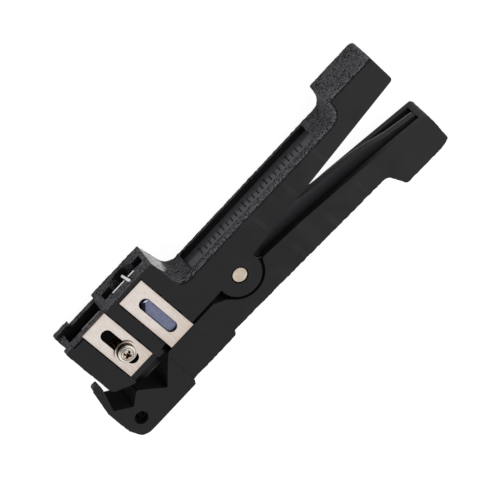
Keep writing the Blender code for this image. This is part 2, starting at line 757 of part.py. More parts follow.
def build_rear_set(parts, cutters):
    build_side_plate(
        "rear_side_plate", REAR_PLATE_X, REAR_PLATE_LOW, REAR_PLATE_HIGH, REAR_SLOT, parts, cutters
    )
    near = WINDOW_A_NEAR
    blade = build_blade(
        "rear_blade", REAR_BLADE_X, REAR_BLADE_W, REAR_BLADE_LOW, REAR_BLADE_HIGH, near, None, parts, cutters
    )
    hole = disc("rear_blade_hole", REAR_PLATE_X, REAR_SCREW_Y, SHANK_R + 0.1, 0.0, BODY_T, cutters)
    combine(blade, hole)
    notch_x = (CROSS_PIN_X - CROSS_PIN_R - 0.2, CROSS_PIN_X + CROSS_PIN_R + 0.2)
    notch_y = (CROSS_PIN_Y - CROSS_PIN_R - 0.1, HEAD_TOP + OVER)
    combine(blade, box("rear_blade_notch", notch_x, notch_y, (0.0, BODY_T), cutters))
    build_guide_bar(parts, cutters)
    build_cross_pin(parts)
    # The clamp screw enters from the far side, through the washer and the blade, into the bar.
    blade_far = near + SEAT + BLADE_T
    washer_z = (z_at(blade_far + SEAT + WASHER_T), z_at(blade_far + SEAT))
    build_washer("rear_washer", REAR_PLATE_X, REAR_SCREW_Y, washer_z, parts, cutters)
    tip = z_at(PLATE_SINK + PLATE_T + SEAT + 0.9)
    seat = washer_z[0] - SEAT
    build_screw("rear_screw", REAR_PLATE_X, REAR_SCREW_Y, seat, tip, -1, parts, cutters)


def build_guide_bar(parts, cutters):
    half = BAR_W / 2
    x = REAR_PLATE_X
    outline = [
        (x + half, BAR_LOW),
        (x + half, BAR_SHOULDER),
        (x + 0.6, BAR_TIP),
        (x - 0.6, BAR_TIP),
        (x - half, BAR_SHOULDER - 0.7),
        (x - half, BAR_LOW),
    ]
    top = z_at(PLATE_SINK + PLATE_T + SEAT)
    low = z_at(WINDOW_A_NEAR)
    bm = prism_bmesh(outline, low, top)
    pointed = []
    for edge in bm.edges:
        a, b = (v.co for v in edge.verts)
        if abs(a.z - top) < 1e-6 and abs(b.z - top) < 1e-6 and (a.y + b.y) / 2 > BAR_SHOULDER - 0.8:
            pointed.append(edge)
    bmesh.ops.bevel(
        bm, geom=pointed, offset=0.5, offset_type="OFFSET", segments=1, profile=0.5, affect="EDGES"
    )
    bar = finish_bmesh("rear_guide_bar", bm, parts)
    hole = disc("bar_hole", x, REAR_SCREW_Y, SHANK_R + 0.05, low - 1.0, top - 0.6, cutters, 15.0)
    combine(bar, hole)
    return bar


def build_cross_pin(parts):
    bm = bmesh.new()
    length = CROSS_PIN_T[1] - CROSS_PIN_T[0]
    bmesh.ops.create_cone(
        bm, cap_ends=True, segments=16, radius1=CROSS_PIN_R, radius2=CROSS_PIN_R, depth=length
    )
    rims = [e for e in bm.edges if abs(e.verts[0].co.z - e.verts[1].co.z) < 1e-6]
    bmesh.ops.bevel(bm, geom=rims, offset=0.2, segments=2, profile=0.5, affect="EDGES")
    # The pin leans a little, its near end to the back.
    middle = Vector((CROSS_PIN_X, CROSS_PIN_Y, z_at((CROSS_PIN_T[0] + CROSS_PIN_T[1]) / 2)))
    lean = Matrix.Rotation(math.radians(CROSS_PIN_LEAN), 4, "Y")
    bmesh.ops.transform(bm, matrix=Matrix.Translation(middle) @ lean, verts=bm.verts)
    pin = finish_bmesh("rear_cross_pin", bm, parts)
    smooth_by_angle(pin, 40.0)
    return pin


def build_washer(name, cx, cy, z, parts, cutters):
    low, high = z
    edge = 0.12
    profile = [
        (0, high),
        (WASHER_R - edge, high),
        (WASHER_R, high - edge),
        (WASHER_R, low + edge),
        (WASHER_R - edge, low),
        (0, low),
    ]
    washer = turned(name, profile, cx, cy, parts, 36)
    smooth_by_angle(washer)
    combine(washer, disc(name + "_hole", cx, cy, SHANK_R + 0.15, low - OVER, high + OVER, cutters))
    return washer


def build_screw(name, cx, cy, seat, tip, side, parts, cutters):
    # side is +1 where the head looks to the near side and -1 where it looks to the far side.
    top = seat + side * HEAD_H
    profile = [
        (0, top),
        (0.35 * HEAD_R, top - side * 0.02),
        (0.62 * HEAD_R, top - side * 0.14),
        (0.82 * HEAD_R, top - side * 0.42),
        (0.95 * HEAD_R, top - side * 0.86),
        (HEAD_R, top - side * 1.3),
        (HEAD_R, seat),
        (SHANK_R, seat),
        (SHANK_R, tip + side * 0.4),
        (SHANK_R - 0.4, tip),
        (0, tip),
    ]
    screw = turned(name, profile, cx, cy, parts, 36)
    smooth_by_angle(screw, 40.0)
    # The cross recess narrows downwards.
    arm = 1.75
    half = 0.42
    cross = [
        (arm, half),
        (half, half),
        (half, arm),
        (-half, arm),
        (-half, half),
        (-arm, half),
        (-arm, -half),
        (-half, -half),
        (-half, -arm),
        (half, -arm),
        (half, -half),
        (arm, -half),
    ]
    bm = prism_bmesh(cross, -1.3, 0.6)
    low = [v for v in bm.verts if v.co.z < -1.0]
    bmesh.ops.scale(bm, vec=(0.42, 0.42, 1.0), verts=low)
    turn = Matrix.Rotation(math.radians(18), 4, "Z")
    if side < 0:
        turn = Matrix.Rotation(math.pi, 4, "X") @ turn
    bmesh.ops.transform(bm, matrix=Matrix.Translation((cx, cy, top)) @ turn, verts=bm.verts)
    combine(screw, finish_bmesh(name + "_recess", bm, cutters))
    return screw


def build_front_set(parts, cutters):
    build_side_plate(
        "front_side_plate", FRONT_PLATE_X, FRONT_PLATE_LOW, FRONT_PLATE_HIGH, FRONT_SLOT, parts, cutters
    )
    near = WINDOW_B_NEAR
    build_blade(
        "front_blade",
        FRONT_PLATE_X,
        FRONT_BLADE_W,
        FRONT_BLADE_LOW,
        FRONT_BLADE_HIGH,
        near,
        FRONT_BLADE_SLOT,
        parts,
        cutters,
    )
    washer_low = z_at(PLATE_SINK) + SEAT
    washer_z = (washer_low, washer_low + WASHER_T)
    build_washer("front_washer", FRONT_PLATE_X, FRONT_SCREW_Y, washer_z, parts, cutters)
    nut_top = z_at(near + SEAT + BLADE_T + SEAT)
    nut_low = nut_top - NUT_T
    seat = washer_z[1] + SEAT
    build_screw("front_screw", FRONT_PLATE_X, FRONT_SCREW_Y, seat, nut_low - 0.8, 1, parts, cutters)
    half = NUT_W / 2
    outline = rounded(
        [
            (FRONT_PLATE_X + half, NUT_Y[0], 0.6),
            (FRONT_PLATE_X + half, NUT_Y[1], 0.6),
            (FRONT_PLATE_X - half, NUT_Y[1], 0.6),
            (FRONT_PLATE_X - half, NUT_Y[0], 0.6),
        ],
        30.0,
    )
    nut = prism("front_nut", outline, nut_low, nut_top, parts)
    hole = disc("nut_hole", FRONT_PLATE_X, FRONT_SCREW_Y, SHANK_R + 0.05, nut_low - OVER, nut_top + OVER, cutters)
    combine(nut, hole)


def main():
    clear_scene()
    parts = new_collection("coaxial_cable_stripper")
    cutters = new_collection("cutters", hidden=True)
    build_upper_lever(parts, cutters)
    build_lower_lever(parts, cutters)
    build_pivot_pin(parts)
    build_return_spring(parts)
    build_rear_set(parts, cutters)
    build_front_set(parts, cutters)
    looks = {
        "upper_lever": ((0.030, 0.030, 0.032), 0.0, 0.55),
        "lower_lever": ((0.028, 0.028, 0.030), 0.0, 0.55),
        "pivot_pin": ((0.78, 0.76, 0.73), 1.0, 0.30),
        "return_spring": ((0.45, 0.45, 0.46), 1.0, 0.35),
        "rear_side_plate": ((0.74, 0.71, 0.68), 1.0, 0.34),
        "rear_guide_bar": ((0.22, 0.24, 0.40), 1.0, 0.35),
        "rear_blade": ((0.74, 0.74, 0.75), 1.0, 0.25),
        "rear_cross_pin": ((0.80, 0.78, 0.74), 1.0, 0.28),
        "rear_screw": ((0.76, 0.75, 0.70), 1.0, 0.25),
        "rear_washer": ((0.75, 0.73, 0.68), 1.0, 0.25),
        "front_side_plate": ((0.74, 0.71, 0.69), 1.0, 0.34),
        "front_blade": ((0.73, 0.73, 0.74), 1.0, 0.25),
        "front_screw": ((0.77, 0.74, 0.68), 1.0, 0.22),
        "front_washer": ((0.76, 0.73, 0.67), 1.0, 0.22),
        "front_nut": ((0.78, 0.52, 0.30), 1.0, 0.30),
    }
    for name, (colour, metallic, roughness) in looks.items():
        obj = bpy.data.objects[name]
        obj.data.materials.clear()
        obj.data.materials.append(material(name, colour, metallic, roughness))


main()
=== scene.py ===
import json
import math

import bmesh
import bpy
from mathutils import Matrix, Vector, noise

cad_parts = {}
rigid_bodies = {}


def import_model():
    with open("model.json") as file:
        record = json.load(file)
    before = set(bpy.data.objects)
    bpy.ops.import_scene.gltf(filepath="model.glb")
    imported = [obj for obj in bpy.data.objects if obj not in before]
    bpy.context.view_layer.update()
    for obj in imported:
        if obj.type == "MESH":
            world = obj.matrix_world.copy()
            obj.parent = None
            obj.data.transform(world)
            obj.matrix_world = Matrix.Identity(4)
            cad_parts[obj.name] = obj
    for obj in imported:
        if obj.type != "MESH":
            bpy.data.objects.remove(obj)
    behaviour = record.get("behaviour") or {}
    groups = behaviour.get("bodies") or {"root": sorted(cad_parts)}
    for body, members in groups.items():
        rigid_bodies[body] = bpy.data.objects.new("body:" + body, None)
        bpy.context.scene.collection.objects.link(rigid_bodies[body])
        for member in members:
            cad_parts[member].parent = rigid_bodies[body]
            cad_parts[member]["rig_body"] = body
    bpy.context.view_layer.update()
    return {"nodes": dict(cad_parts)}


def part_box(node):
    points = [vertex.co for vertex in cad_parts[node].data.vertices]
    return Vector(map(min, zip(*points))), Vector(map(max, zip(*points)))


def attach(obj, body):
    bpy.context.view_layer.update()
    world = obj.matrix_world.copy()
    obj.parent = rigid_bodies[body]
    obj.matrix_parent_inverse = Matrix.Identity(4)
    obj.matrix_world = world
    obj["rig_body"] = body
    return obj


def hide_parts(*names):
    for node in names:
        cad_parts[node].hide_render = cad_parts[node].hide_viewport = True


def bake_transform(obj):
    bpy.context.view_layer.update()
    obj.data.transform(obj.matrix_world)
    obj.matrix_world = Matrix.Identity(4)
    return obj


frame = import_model()
print("frame loaded:", len(frame["nodes"]), "nodes")

mm = 0.001

# The tool lies on its far side. A place on it is given as the tool's own x and h from the pivot
# and its depth t below the near face, all in millimetres.
toolFrame = {"pivotX": -8.45, "pivotY": -2.0, "thickness": 14.2}


def place(x, h, t):
    return Vector((
        (x + toolFrame["pivotX"]) * mm,
        (h + toolFrame["pivotY"]) * mm,
        (toolFrame["thickness"] - t) * mm,
    ))


def toolPlace(co):
    return (
        co.x / mm - toolFrame["pivotX"],
        co.y / mm - toolFrame["pivotY"],
        toolFrame["thickness"] - co.z / mm,
    )


# The camera stands above the tool's back and looks down on its near side.
cameraLook = {
    "place": (0.05791, 0.52106, 0.8699),
    "turn": (-24.422, -19.984, -43.4),
    "lens": 237.816,
    "sensor": 36.0,
    "near": 0.01,
    "far": 20.0,
}


def makeCamera(look):
    data = bpy.data.cameras.new("photoCamera")
    data.lens = look["lens"]
    data.sensor_width = look["sensor"]
    data.clip_start = look["near"]
    data.clip_end = look["far"]
    camera = bpy.data.objects.new("photoCamera", data)
    bpy.context.scene.collection.objects.link(camera)
    camera.location = look["place"]
    camera.rotation_euler = [math.radians(a) for a in look["turn"]]
    bpy.context.scene.camera = camera


makeCamera(cameraLook)
print("camera placed")


class Wire:
    # One output of a node. Sums written with it add their Math nodes.
    def __init__(self, finish, socket):
        self.finish = finish
        self.socket = socket

    def calc(self, operation, *others):
        values = dict(enumerate((self, *others)))
        return self.finish.add("ShaderNodeMath", {"operation": operation}, values)

    def other(self, name):
        return Wire(self.finish, self.socket.node.outputs[name])

    def __add__(self, value):
        return self.calc("ADD", value)

    def __sub__(self, value):
        return self.calc("SUBTRACT", value)

    def __mul__(self, value):
        return self.calc("MULTIPLY", value)

    def __pow__(self, value):
        return self.calc("POWER", value)

    def __abs__(self):
        return self.calc("ABSOLUTE")

    __radd__ = __add__
    __rmul__ = __mul__

    def __rsub__(self, value):
        return self.finish.add("ShaderNodeMath", {"operation": "SUBTRACT"}, {0: value, 1: self})

    def atLeast(self, value):
        return self.calc("MAXIMUM", value)

    def atMost(self, value):
        return self.calc("MINIMUM", value)

    def limit(self):
        return self.finish.add("ShaderNodeClamp", {}, {"Value": self})


class Finish:
    # A material, or the world, and the one method that adds any node to it.
    def __init__(self, owner):
        owner.use_nodes = True
        self.owner = owner
        self.tree = owner.node_tree
        self.tree.nodes.clear()

    def add(self, kind, settings=None, inputs=None, out=0):
        node = self.tree.nodes.new(kind)
        for key, value in (settings or {}).items():
            setattr(node, key, value)
        for key, value in (inputs or {}).items():
            if isinstance(value, Wire):
                self.tree.links.new(value.socket, node.inputs[key])
            else:
                node.inputs[key].default_value = value
        return Wire(self, node.outputs[out]) if node.outputs else None

    def spot(self, stretch=(1.0, 1.0, 1.0)):
        # The place on the piece in millimetres, stretched for grain that runs one way.
        where = self.add("ShaderNodeTexCoord").other("Object")
        scale = [s / mm for s in stretch]
        return self.add("ShaderNodeVectorMath", {"operation": "MULTIPLY"}, {0: where, 1: scale})

    def split(self, vector):
        parts = self.add("ShaderNodeSeparateXYZ", {}, {0: vector})
        return parts.other("X"), parts.other("Y"), parts.other("Z")

    def facing(self):
        return self.split(self.add("ShaderNodeTexCoord").other("Normal"))

    def noise(self, vector, scale, detail=2.0, roughness=0.5):
        sizes = {"Vector": vector, "Scale": scale, "Detail": detail, "Roughness": roughness}
        return self.add("ShaderNodeTexNoise", {}, sizes)

    def streaks(self, stretch, roughness=0.65):
        # Fine scratches that run the way the metal was ground or brushed.
        return self.noise(self.spot(stretch), 1.0, 3.0, roughness)

    def rise(self, value, low, high):
        # Nought up to low, one from high, smooth between.
        edges = {"Value": value, "From Min": low, "From Max": high}
        return self.add("ShaderNodeMapRange", {"interpolation_type": "SMOOTHSTEP"}, edges)

    def band(self, value, low, lowFull, highFull, high):
        # One between the two middle values, nought outside the other two.
        return self.rise(value, low, lowFull) * (1 - self.rise(value, highFull, high))

    def blendColours(self, share, first, second):
        picked = {0: share, 6: first, 7: second}
        return self.add("ShaderNodeMix", {"data_type": "RGBA"}, picked, 2)

    def bump(self, height, strength, depth, under=None):
        inputs = {"Height": height, "Strength": strength, "Distance": depth * mm}
        if under:
            inputs["Normal"] = under
        return self.add("ShaderNodeBump", {}, inputs)

    def surface(self, **sockets):
        names = {key.replace("_", " "): value for key, value in sockets.items()}
        shader = self.add("ShaderNodeBsdfPrincipled", {}, names)
        self.add("ShaderNodeOutputMaterial", {}, {"Surface": shader})
        return self.owner


def newFinish(name):
    return Finish(bpy.data.materials.new(name))


def colour(r, g, b):
    return (r, g, b, 1.0)


def distance(across, up):
    return (across * across + up * up) ** 0.5


def boxOf(node):
    # A node's two far corners in millimetres.
    return [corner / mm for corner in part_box(node)]


# Black nylon: broad faces moulded smooth, outer edges spark-textured.
nylonLook = {
    "smooth": colour(0.0165, 0.0158, 0.0172),
    "cloud": colour(0.0235, 0.0222, 0.0240),
    "pit": colour(0.0060, 0.0056, 0.0064),
    "crest": colour(0.1300, 0.1240, 0.1370),
    # The edge tone also serves as the painted shade line where the grain meets the flat faces.
    "edge": colour(0.0040, 0.0038, 0.0042),
    "panel": colour(0.0700, 0.0670, 0.0740),
    # The inner tone is painted light: the handle's trough walls are made paler against their shade.
    "inner": colour(0.0400, 0.0388, 0.0425),
    # A painted highlight along the rib's top edge.
    "paintedRibHighlight": colour(0.2200, 0.2150, 0.2250),
    # Painted shade in the V grooves.
    "groove": colour(0.0105, 0.0100, 0.0110),
    # A painted highlight on the V grooves' rims.
    "paintedRimHighlight": colour(0.1500, 0.1450, 0.1550),
    # Near black painted shade on the V grooves' up-facing floors, in the channels under the plates and in
    # the ring round the pin.
    "paintedShadeBlack": colour(0.0010, 0.0010, 0.0010),
    "grainPerMm": 1.05,
    "finePerMm": 2.73,
    "crestSharp": 9.0,
    "crestShare": 0.45,
    "fineShare": 0.80,
    "crestFrom": (0.36, 0.80),
    "grainDepth": 0.20,
    "sideNz": (0.88, 0.97),
    "sideRagged": 0.3,
    "cloudPerMm": 0.11,
    # Painted light: the smooth faces grow lighter toward the handle's end.
    "paintedLightDrift": 0.0045,
    "cloudFrom": (0.36, 0.82),
    "shadeBlackNy": (0.80, 0.95),
    "rimHighlightNz": (0.25, 0.50, 0.93, 0.99),
    "shadeLineShare": 0.95,
    "hazePerMm": 7.0,
    "hazeRough": 0.06,
    "hazeBump": 0.30,
    "hazeDepth": 0.005,
    "smoothRough": 0.36,
    "texturedRough": 0.50,
    "polishedRough": 0.14,
    "dull": 0.5,
    "specular": 0.12,
    "panelCoat": 0.4,
    "coatRough": 0.12,
}
# Shares of the surface that a lever may leave out.
spareShares = ("polished", "panel", "hidden", "rounded", "turn", "inner", "paintedRibHighlight", "groove")


def grainCrests(f, spot, coarse, look):
    # The eroded grain is a crumbly pattern of short worm-like crests.
    fine = f.noise(spot, look["finePerMm"])
    ridge = (1 - abs(coarse - 0.5) * look["crestSharp"]).limit()
    return f.rise(ridge * look["crestShare"] + fine * look["fineShare"], *look["crestFrom"])


def plainNylon(f, spot, x, ny, nz, side, shares, look):
    # The smooth faces are clouded and painted lighter toward the handle's end as painted light, painted
    # paler inside the handle as painted light, and carry a painted highlight on the rib's edge. The V
    # grooves are painted darker as painted shade, near black on their up-facing floors, with painted
    # highlights on their rims.
    cloudAndPaintedLight = f.noise(spot, look["cloudPerMm"]) + x * look["paintedLightDrift"]
    shade = f.blendColours(f.rise(cloudAndPaintedLight, *look["cloudFrom"]), look["smooth"], look["cloud"])
    shade = f.blendColours(shares["inner"], shade, look["inner"])
    shade = f.blendColours(shares["paintedRibHighlight"], shade, look["paintedRibHighlight"])
    groove = shares["groove"]
    shade = f.blendColours(groove * side, shade, look["groove"])
    shade = f.blendColours(groove * f.rise(ny, *look["shadeBlackNy"]), shade, look["paintedShadeBlack"])
    return f.blendColours(groove * f.band(abs(nz), *look["rimHighlightNz"]), shade, look["paintedRimHighlight"])


# Flow ripples spread round the inner corner behind the head.
rippleLook = {
    "corner": (-10.6, 18.6),
    "perMm": 7.0,
    "deepPerMm": 5.2,
    "levelNz": (0.6, 0.9),
    "bendPerMm": 0.55,
    "bend": 13.0,
    "from": (3.6, 4.6),
    "to": (7.6, 9.2),
    "ragged": 3.0,
    "below": (-3.0, -1.0),
    "behind": (-5.0, -3.0),
    "darkFrom": 0.62,
    "edgeShare": 0.8,
    "depth": 0.10,
}


def flowRipples(f, spot, x, y, nz, inward, coarse, look):
    # Gives the ripples' height and the share of the surface that has them.
    cornerX, cornerH = look["corner"]
    acrossX = x - (toolFrame["pivotX"] + cornerX)
    acrossY = y - (toolFrame["pivotY"] + cornerH)
    far = distance(acrossX, acrossY)
    level = f.rise(abs(nz), *look["levelNz"])
    bend = f.noise(spot, look["bendPerMm"], 1.0) * look["bend"]
    rings = far * look["perMm"] * level + inward * look["deepPerMm"] * (1 - level) + bend
    ringed = f.rise(far, *look["from"]) * (1 - f.rise(far + coarse * look["ragged"], *look["to"]))
    ringed = ringed * (1 - f.rise(acrossY, *look["below"])) * f.rise(acrossX, *look["behind"])
    return rings.calc("SINE"), ringed


# Faint pairs of sink lines cross the near faces where ribs stand behind them: the tool's own x
# and the h of their middles.
sinkLook = {
    "upper": ((16.6, 7.4), (30.7, 8.2), (44.8, 9.6)),
    "lower": ((18.4, -10.0), (32.6, -11.0), (46.6, -11.0)),
    "tone": colour(0.0400, 0.0380, 0.0405),
    "halfWide": 0.30,
    "halfApart": 0.425,
    "lean": 0.05,
    "fade": (1.875, 4.875),
    "brokenPerMm": 0.6,
    "broken": (0.25, 0.60),
    "flatNz": (0.95, 0.99),
    "share": 0.7,
}


def sinkLine(f, x, y, lineX, lineH, look):
    across = x - (lineX + toolFrame["pivotX"]) + (y - lineH) * look["lean"]
    along = abs(y - (lineH + toolFrame["pivotY"]))
    narrow = 1 - f.rise(abs(abs(across) - look["halfApart"]), 0.0, look["halfWide"])
    return narrow * (1 - f.rise(along, *look["fade"]))


def sinkLines(f, spot, x, y, nz, lines, look):
    drawn = sum(sinkLine(f, x, y, lineX, lineH, look) for lineX, lineH in lines)
    broken = f.rise(f.noise(spot, look["brokenPerMm"]), *look["broken"])
    flat = f.rise(abs(nz), *look["flatNz"])
    return (drawn * broken * flat * look["share"]).limit()


def mouldedNylon(name, look, masks, lines):
    # masks gives by name the shares of the surface that differ from the plain smooth faces.
    f = newFinish(name)
    spot = f.spot()
    x, y, z = f.split(spot)
    nx, ny, nz = f.facing()
    coarse = f.noise(spot, look["grainPerMm"], 3.0, 0.6)
    haze = f.noise(spot, look["hazePerMm"], 2.0, 0.6)
    inward = toolFrame["thickness"] / 2 - abs(z - toolFrame["thickness"] / 2)
    side = 1 - f.rise(abs(nz) + (coarse - 0.5) * look["sideRagged"], *look["sideNz"])
    shares = dict.fromkeys(spareShares, 0.0 * x)
    for key, share in masks(f, x, y, z, nx, ny, inward, coarse).items():
        shares[key] = share.limit()
    textured = shares["textured"] * side.atLeast(shares["rounded"])
    polished = shares["polished"] * side
    panel = shares["panel"]
    hidden = shares["hidden"]
    crest = grainCrests(f, spot, coarse, look)
    rings, ringed = flowRipples(f, spot, x, y, nz, inward, coarse, rippleLook)
    ringed = ringed * (1 - panel)
    grainy = f.blendColours(crest, look["pit"], look["crest"])
    dark = (rings * 0.5 + rippleLook["darkFrom"]).limit()
    grainy = f.blendColours(ringed, grainy, f.blendColours(dark, look["crest"], look["pit"]))
    shade = plainNylon(f, spot, x, ny, nz, side, shares, look)
    shade = f.blendColours((rings * 0.5 + 0.5) * ringed * rippleLook["edgeShare"], shade, look["edge"])
    shade = f.blendColours(textured, shade, grainy)
    shade = f.blendColours(panel, shade, look["panel"])
    # The grain ends at the flat faces in a dark wavy line of painted shade.
    shade = f.blendColours(shares["turn"] * look["shadeLineShare"], shade, look["edge"])
    drawn = sinkLines(f, spot, x, y, nz, lines, sinkLook)
    shade = f.blendColours(drawn, shade, sinkLook["tone"])
    # Painted shade: the hollows under the plates and round the pin are near black.
    shade = f.blendColours(hidden, shade, look["paintedShadeBlack"])
    rough = look["smoothRough"] + haze * look["hazeRough"]
    rough = rough + (hidden + shares["groove"] * side) * look["dull"]
    rough = rough + textured * (look["texturedRough"] - look["smoothRough"])
    rough = rough - polished * (look["smoothRough"] + look["hazeRough"] / 2 - look["polishedRough"])
    grain = f.bump(crest * textured * (1 - ringed), 1.0, look["grainDepth"])
    ripple = f.bump(rings * ringed, 1.0, rippleLook["depth"], grain)
    skin = f.bump(haze * (1 - polished), look["hazeBump"], look["hazeDepth"], ripple)
    return f.surface(
        Base_Color=shade,
        Roughness=rough.limit(),
        Normal=skin,
        Specular_IOR_Level=look["specular"],
        Coat_Weight=(polished + panel * look["panelCoat"]).limit(),
        Coat_Roughness=look["coatRough"],
    )


# The handle's grip, whose grain runs over its rounded edge onto the flat faces. Its outline has
# two inner corners, at the head and at the finger stop.
gripLook = {
    "fromX": (-24.0, -23.0),
    "fromY": (7.0, 7.5),
    "stopCorner": (53.9, 17.8),
    "stopR": 4.0,
    "stopLean": 0.2,
    "stopTopH": 20.7,
    "headCorner": (-10.6, 18.6),
    "headR": 4.8,
    "ragged": 1.4,
    "roundWide": (1.15, 1.30),
    "roundDeep": (1.15, 1.25),
    # Where the line of painted shade lies, beyond the rounded edge.
    "shadeLineWide": (1.65, 1.90),
    "shadeLineDeep": (0.22, 0.34),
}


def gripMasks(f, x, y, inward, coarse, look):
    # Gives the rounded edge and the line of painted shade in which its grain ends.
    toolX = x - toolFrame["pivotX"]
    toolH = y - toolFrame["pivotY"]
    stopX, stopH = look["stopCorner"]
    headX, headH = look["headCorner"]
    leaned = toolX - (toolH - stopH).atLeast(0.0) * look["stopLean"]
    fromStop = distance((leaned - stopX).atLeast(0.0), (stopH - toolH).atLeast(0.0)) - look["stopR"]
    fromHead = distance((headX - toolX).atLeast(0.0), (headH - toolH).atLeast(0.0)) - look["headR"]
    within = fromHead.atLeast(fromStop.atMost(look["stopTopH"] - toolH))
    wavy = within + (coarse - 0.5) * look["ragged"]
    grip = f.rise(x, *look["fromX"]) * f.rise(y, *look["fromY"])
    flat = f.rise(wavy, *look["roundWide"])
    rounded = grip * (1 - flat) * (1 - f.rise(inward, *look["roundDeep"]))
    turn = grip * flat * (1 - f.rise(wavy, *look["shadeLineWide"]))
    return rounded, turn * (1 - f.rise(inward, *look["shadeLineDeep"]))


# Where the levers' surfaces change, in millimetres from the origin, or as parts of a normal.
upperZones = {
    "floorX": (-18.0, -17.0),
    "floorY": (9.0, 9.3, 9.9, 10.2),
    "floorNy": (0.5, 0.8),
    "backWallX": (-22.0, -20.0),
    "backWallY": (14.0, 16.0),
    "backWallNx": (0.8, 0.97),
    "panelX": (-17.6, -17.4),
    "panelY": (9.0, 9.3, 11.5, 11.7),
    "panelZ": (1.2, 1.35, 12.4, 12.5),
    "channelsX": (-25.0, -24.0),
    "channelsY": (1.0, 1.2, 23.6, 24.0),
    "channelsZ": (12.6, 12.8, 14.02, 14.12),
    "pinRingSquared": (8.3, 8.6),
}
lowerZones = {
    "underNy": (-0.7, -0.3),
    "frontX": (-66.5, -65.0),
    "frontNx": (-0.75, -0.4),
    "endX": (66.0, 68.0),
    "endNx": (0.5, 0.8),
    "lipTopY": (7.9, 8.2),
    "innerX": (-8.0, -6.0, 66.0, 66.4),
    "innerZ": (2.5, 2.7, 11.5, 11.7),
    "innerNy": (0.85, 0.97),
    "grooveX": (-69.0, -68.5, -40.5, -40.0),
    "grooveY": (-13.5, -13.0, -2.0, -1.0),
    "grooveNy": (-0.2, 0.1),
    "ribHighlightX": (27.0, 31.0, 66.0, 66.4),
    "ribHighlightZ": (5.40, 5.50, 5.85, 6.10),
    "ribHighlightNy": (0.3, 0.6),
}


def upperMasks(f, x, y, z, nx, ny, inward, coarse):
    # All outer edges are textured but the recessed panel and the head's back wall. The channels under the
    # plates and the ring round the pin are painted near black as painted shade.
    zone = upperZones
    floor = f.rise(x, *zone["floorX"]) * f.band(y, *zone["floorY"]) * f.rise(ny, *zone["floorNy"])
    backWall = (1 - f.rise(x, *zone["backWallX"])) * f.rise(y, *zone["backWallY"])
    backWall = backWall * f.rise(nx, *zone["backWallNx"])
    inPanel = f.rise(x, *zone["panelX"]) * f.band(y, *zone["panelY"]) * f.band(z, *zone["panelZ"])
    channels = (1 - f.rise(x, *zone["channelsX"])) * f.band(y, *zone["channelsY"])
    ringX = x - toolFrame["pivotX"]
    ringY = y - toolFrame["pivotY"]
    ring = 1 - f.rise(ringX * ringX + ringY * ringY, *zone["pinRingSquared"])
    hidden = (channels * f.band(z, *zone["channelsZ"]) + ring).limit()
    rounded, turn = gripMasks(f, x, y, inward, coarse, gripLook)
    return {
        "textured": (1 - inPanel) * (1 - backWall) * (1 - hidden),
        "polished": backWall,
        "panel": floor,
        "hidden": hidden,
        "rounded": rounded,
        "turn": turn,
    }


def lowerMasks(f, x, y, z, nx, ny, inward, coarse):
    zone = lowerZones
    under = 1 - f.rise(ny, *zone["underNy"])
    front = (1 - f.rise(x, *zone["frontX"])) * (1 - f.rise(nx, *zone["frontNx"]))
    end = f.rise(x, *zone["endX"]) * f.rise(nx, *zone["endNx"])
    lipTop = f.rise(y, *zone["lipTopY"])
    # Painted light: the trough's walls inside the handle are made paler against their shade.
    inner = f.band(x, *zone["innerX"]) * f.band(z, *zone["innerZ"])
    # Painted shade: the V grooves are darker.
    groove = f.band(x, *zone["grooveX"]) * f.band(y, *zone["grooveY"])
    # A painted highlight along the rib's top edge.
    paintedRibHighlight = f.band(x, *zone["ribHighlightX"]) * f.band(z, *zone["ribHighlightZ"])
    return {
        "textured": under + front + end + lipTop,
        "inner": inner * (1 - f.rise(ny, *zone["innerNy"])),
        "groove": groove * f.rise(ny, *zone["grooveNy"]),
        "paintedRibHighlight": paintedRibHighlight * f.rise(ny, *zone["ribHighlightNy"]),
    }


# Metals: what differs from piece to piece is colour, roughness and which way they were ground.
metalLooks = {
    "bladeSteel": {
        "base": colour(0.860, 0.840, 0.820),
        "tint": colour(0.700, 0.680, 0.660),
        "rough": 0.24,
        "grind": (0.6, 9.0, 9.0),
        "depth": 0.006,
    },
    "pinSteel": {
        "base": colour(0.715, 0.615, 0.515),
        "tint": colour(0.570, 0.470, 0.380),
        "rough": 0.36,
        "grind": (2.2, 2.2, 2.2),
        "depth": 0.010,
    },
    "plating": {
        "base": colour(0.830, 0.780, 0.700),
        "tint": colour(0.640, 0.570, 0.480),
        # Painted shade on the washers' flanks.
        "side": colour(0.110, 0.080, 0.060),
        "rough": 0.16,
        "grind": (1.1, 1.1, 1.1),
        "depth": 0.004,
    },
    "wire": {
        "base": colour(0.460, 0.460, 0.470),
        "tint": colour(0.300, 0.300, 0.310),
        "rough": 0.32,
        "grind": (3.0, 3.0, 3.0),
        "depth": 0.006,
    },
    # The brass nut is painted dark as painted shade, with orange only in patches as painted glints.
    "brass": {
        "base": colour(0.080, 0.055, 0.040),
        "tint": colour(0.620, 0.250, 0.070),
        "rough": 0.34,
        "grind": (0.9, 0.9, 0.9),
        "depth": 0.020,
    },
}
# What all the metals share.
grindLook = {
    "patchPerMm": 0.45,
    "patchShare": 0.6,
    "streakShare": 0.4,
    "tintFrom": (0.38, 0.66),
    "sideNz": (0.30, 0.60),
    "streakRough": 0.14,
    "patchRough": 0.08,
    "bump": 0.5,
}


def metalTone(f, look, streaks, patches):
    mixed = patches * grindLook["patchShare"] + streaks * grindLook["streakShare"]
    shade = f.blendColours(f.rise(mixed, *grindLook["tintFrom"]), look["base"], look["tint"])
    if "side" not in look:
        return shade
    # The edges and flanks are painted dark, as painted shade.
    nx, ny, nz = f.facing()
    return f.blendColours(1 - f.rise(abs(nz), *grindLook["sideNz"]), shade, look["side"])


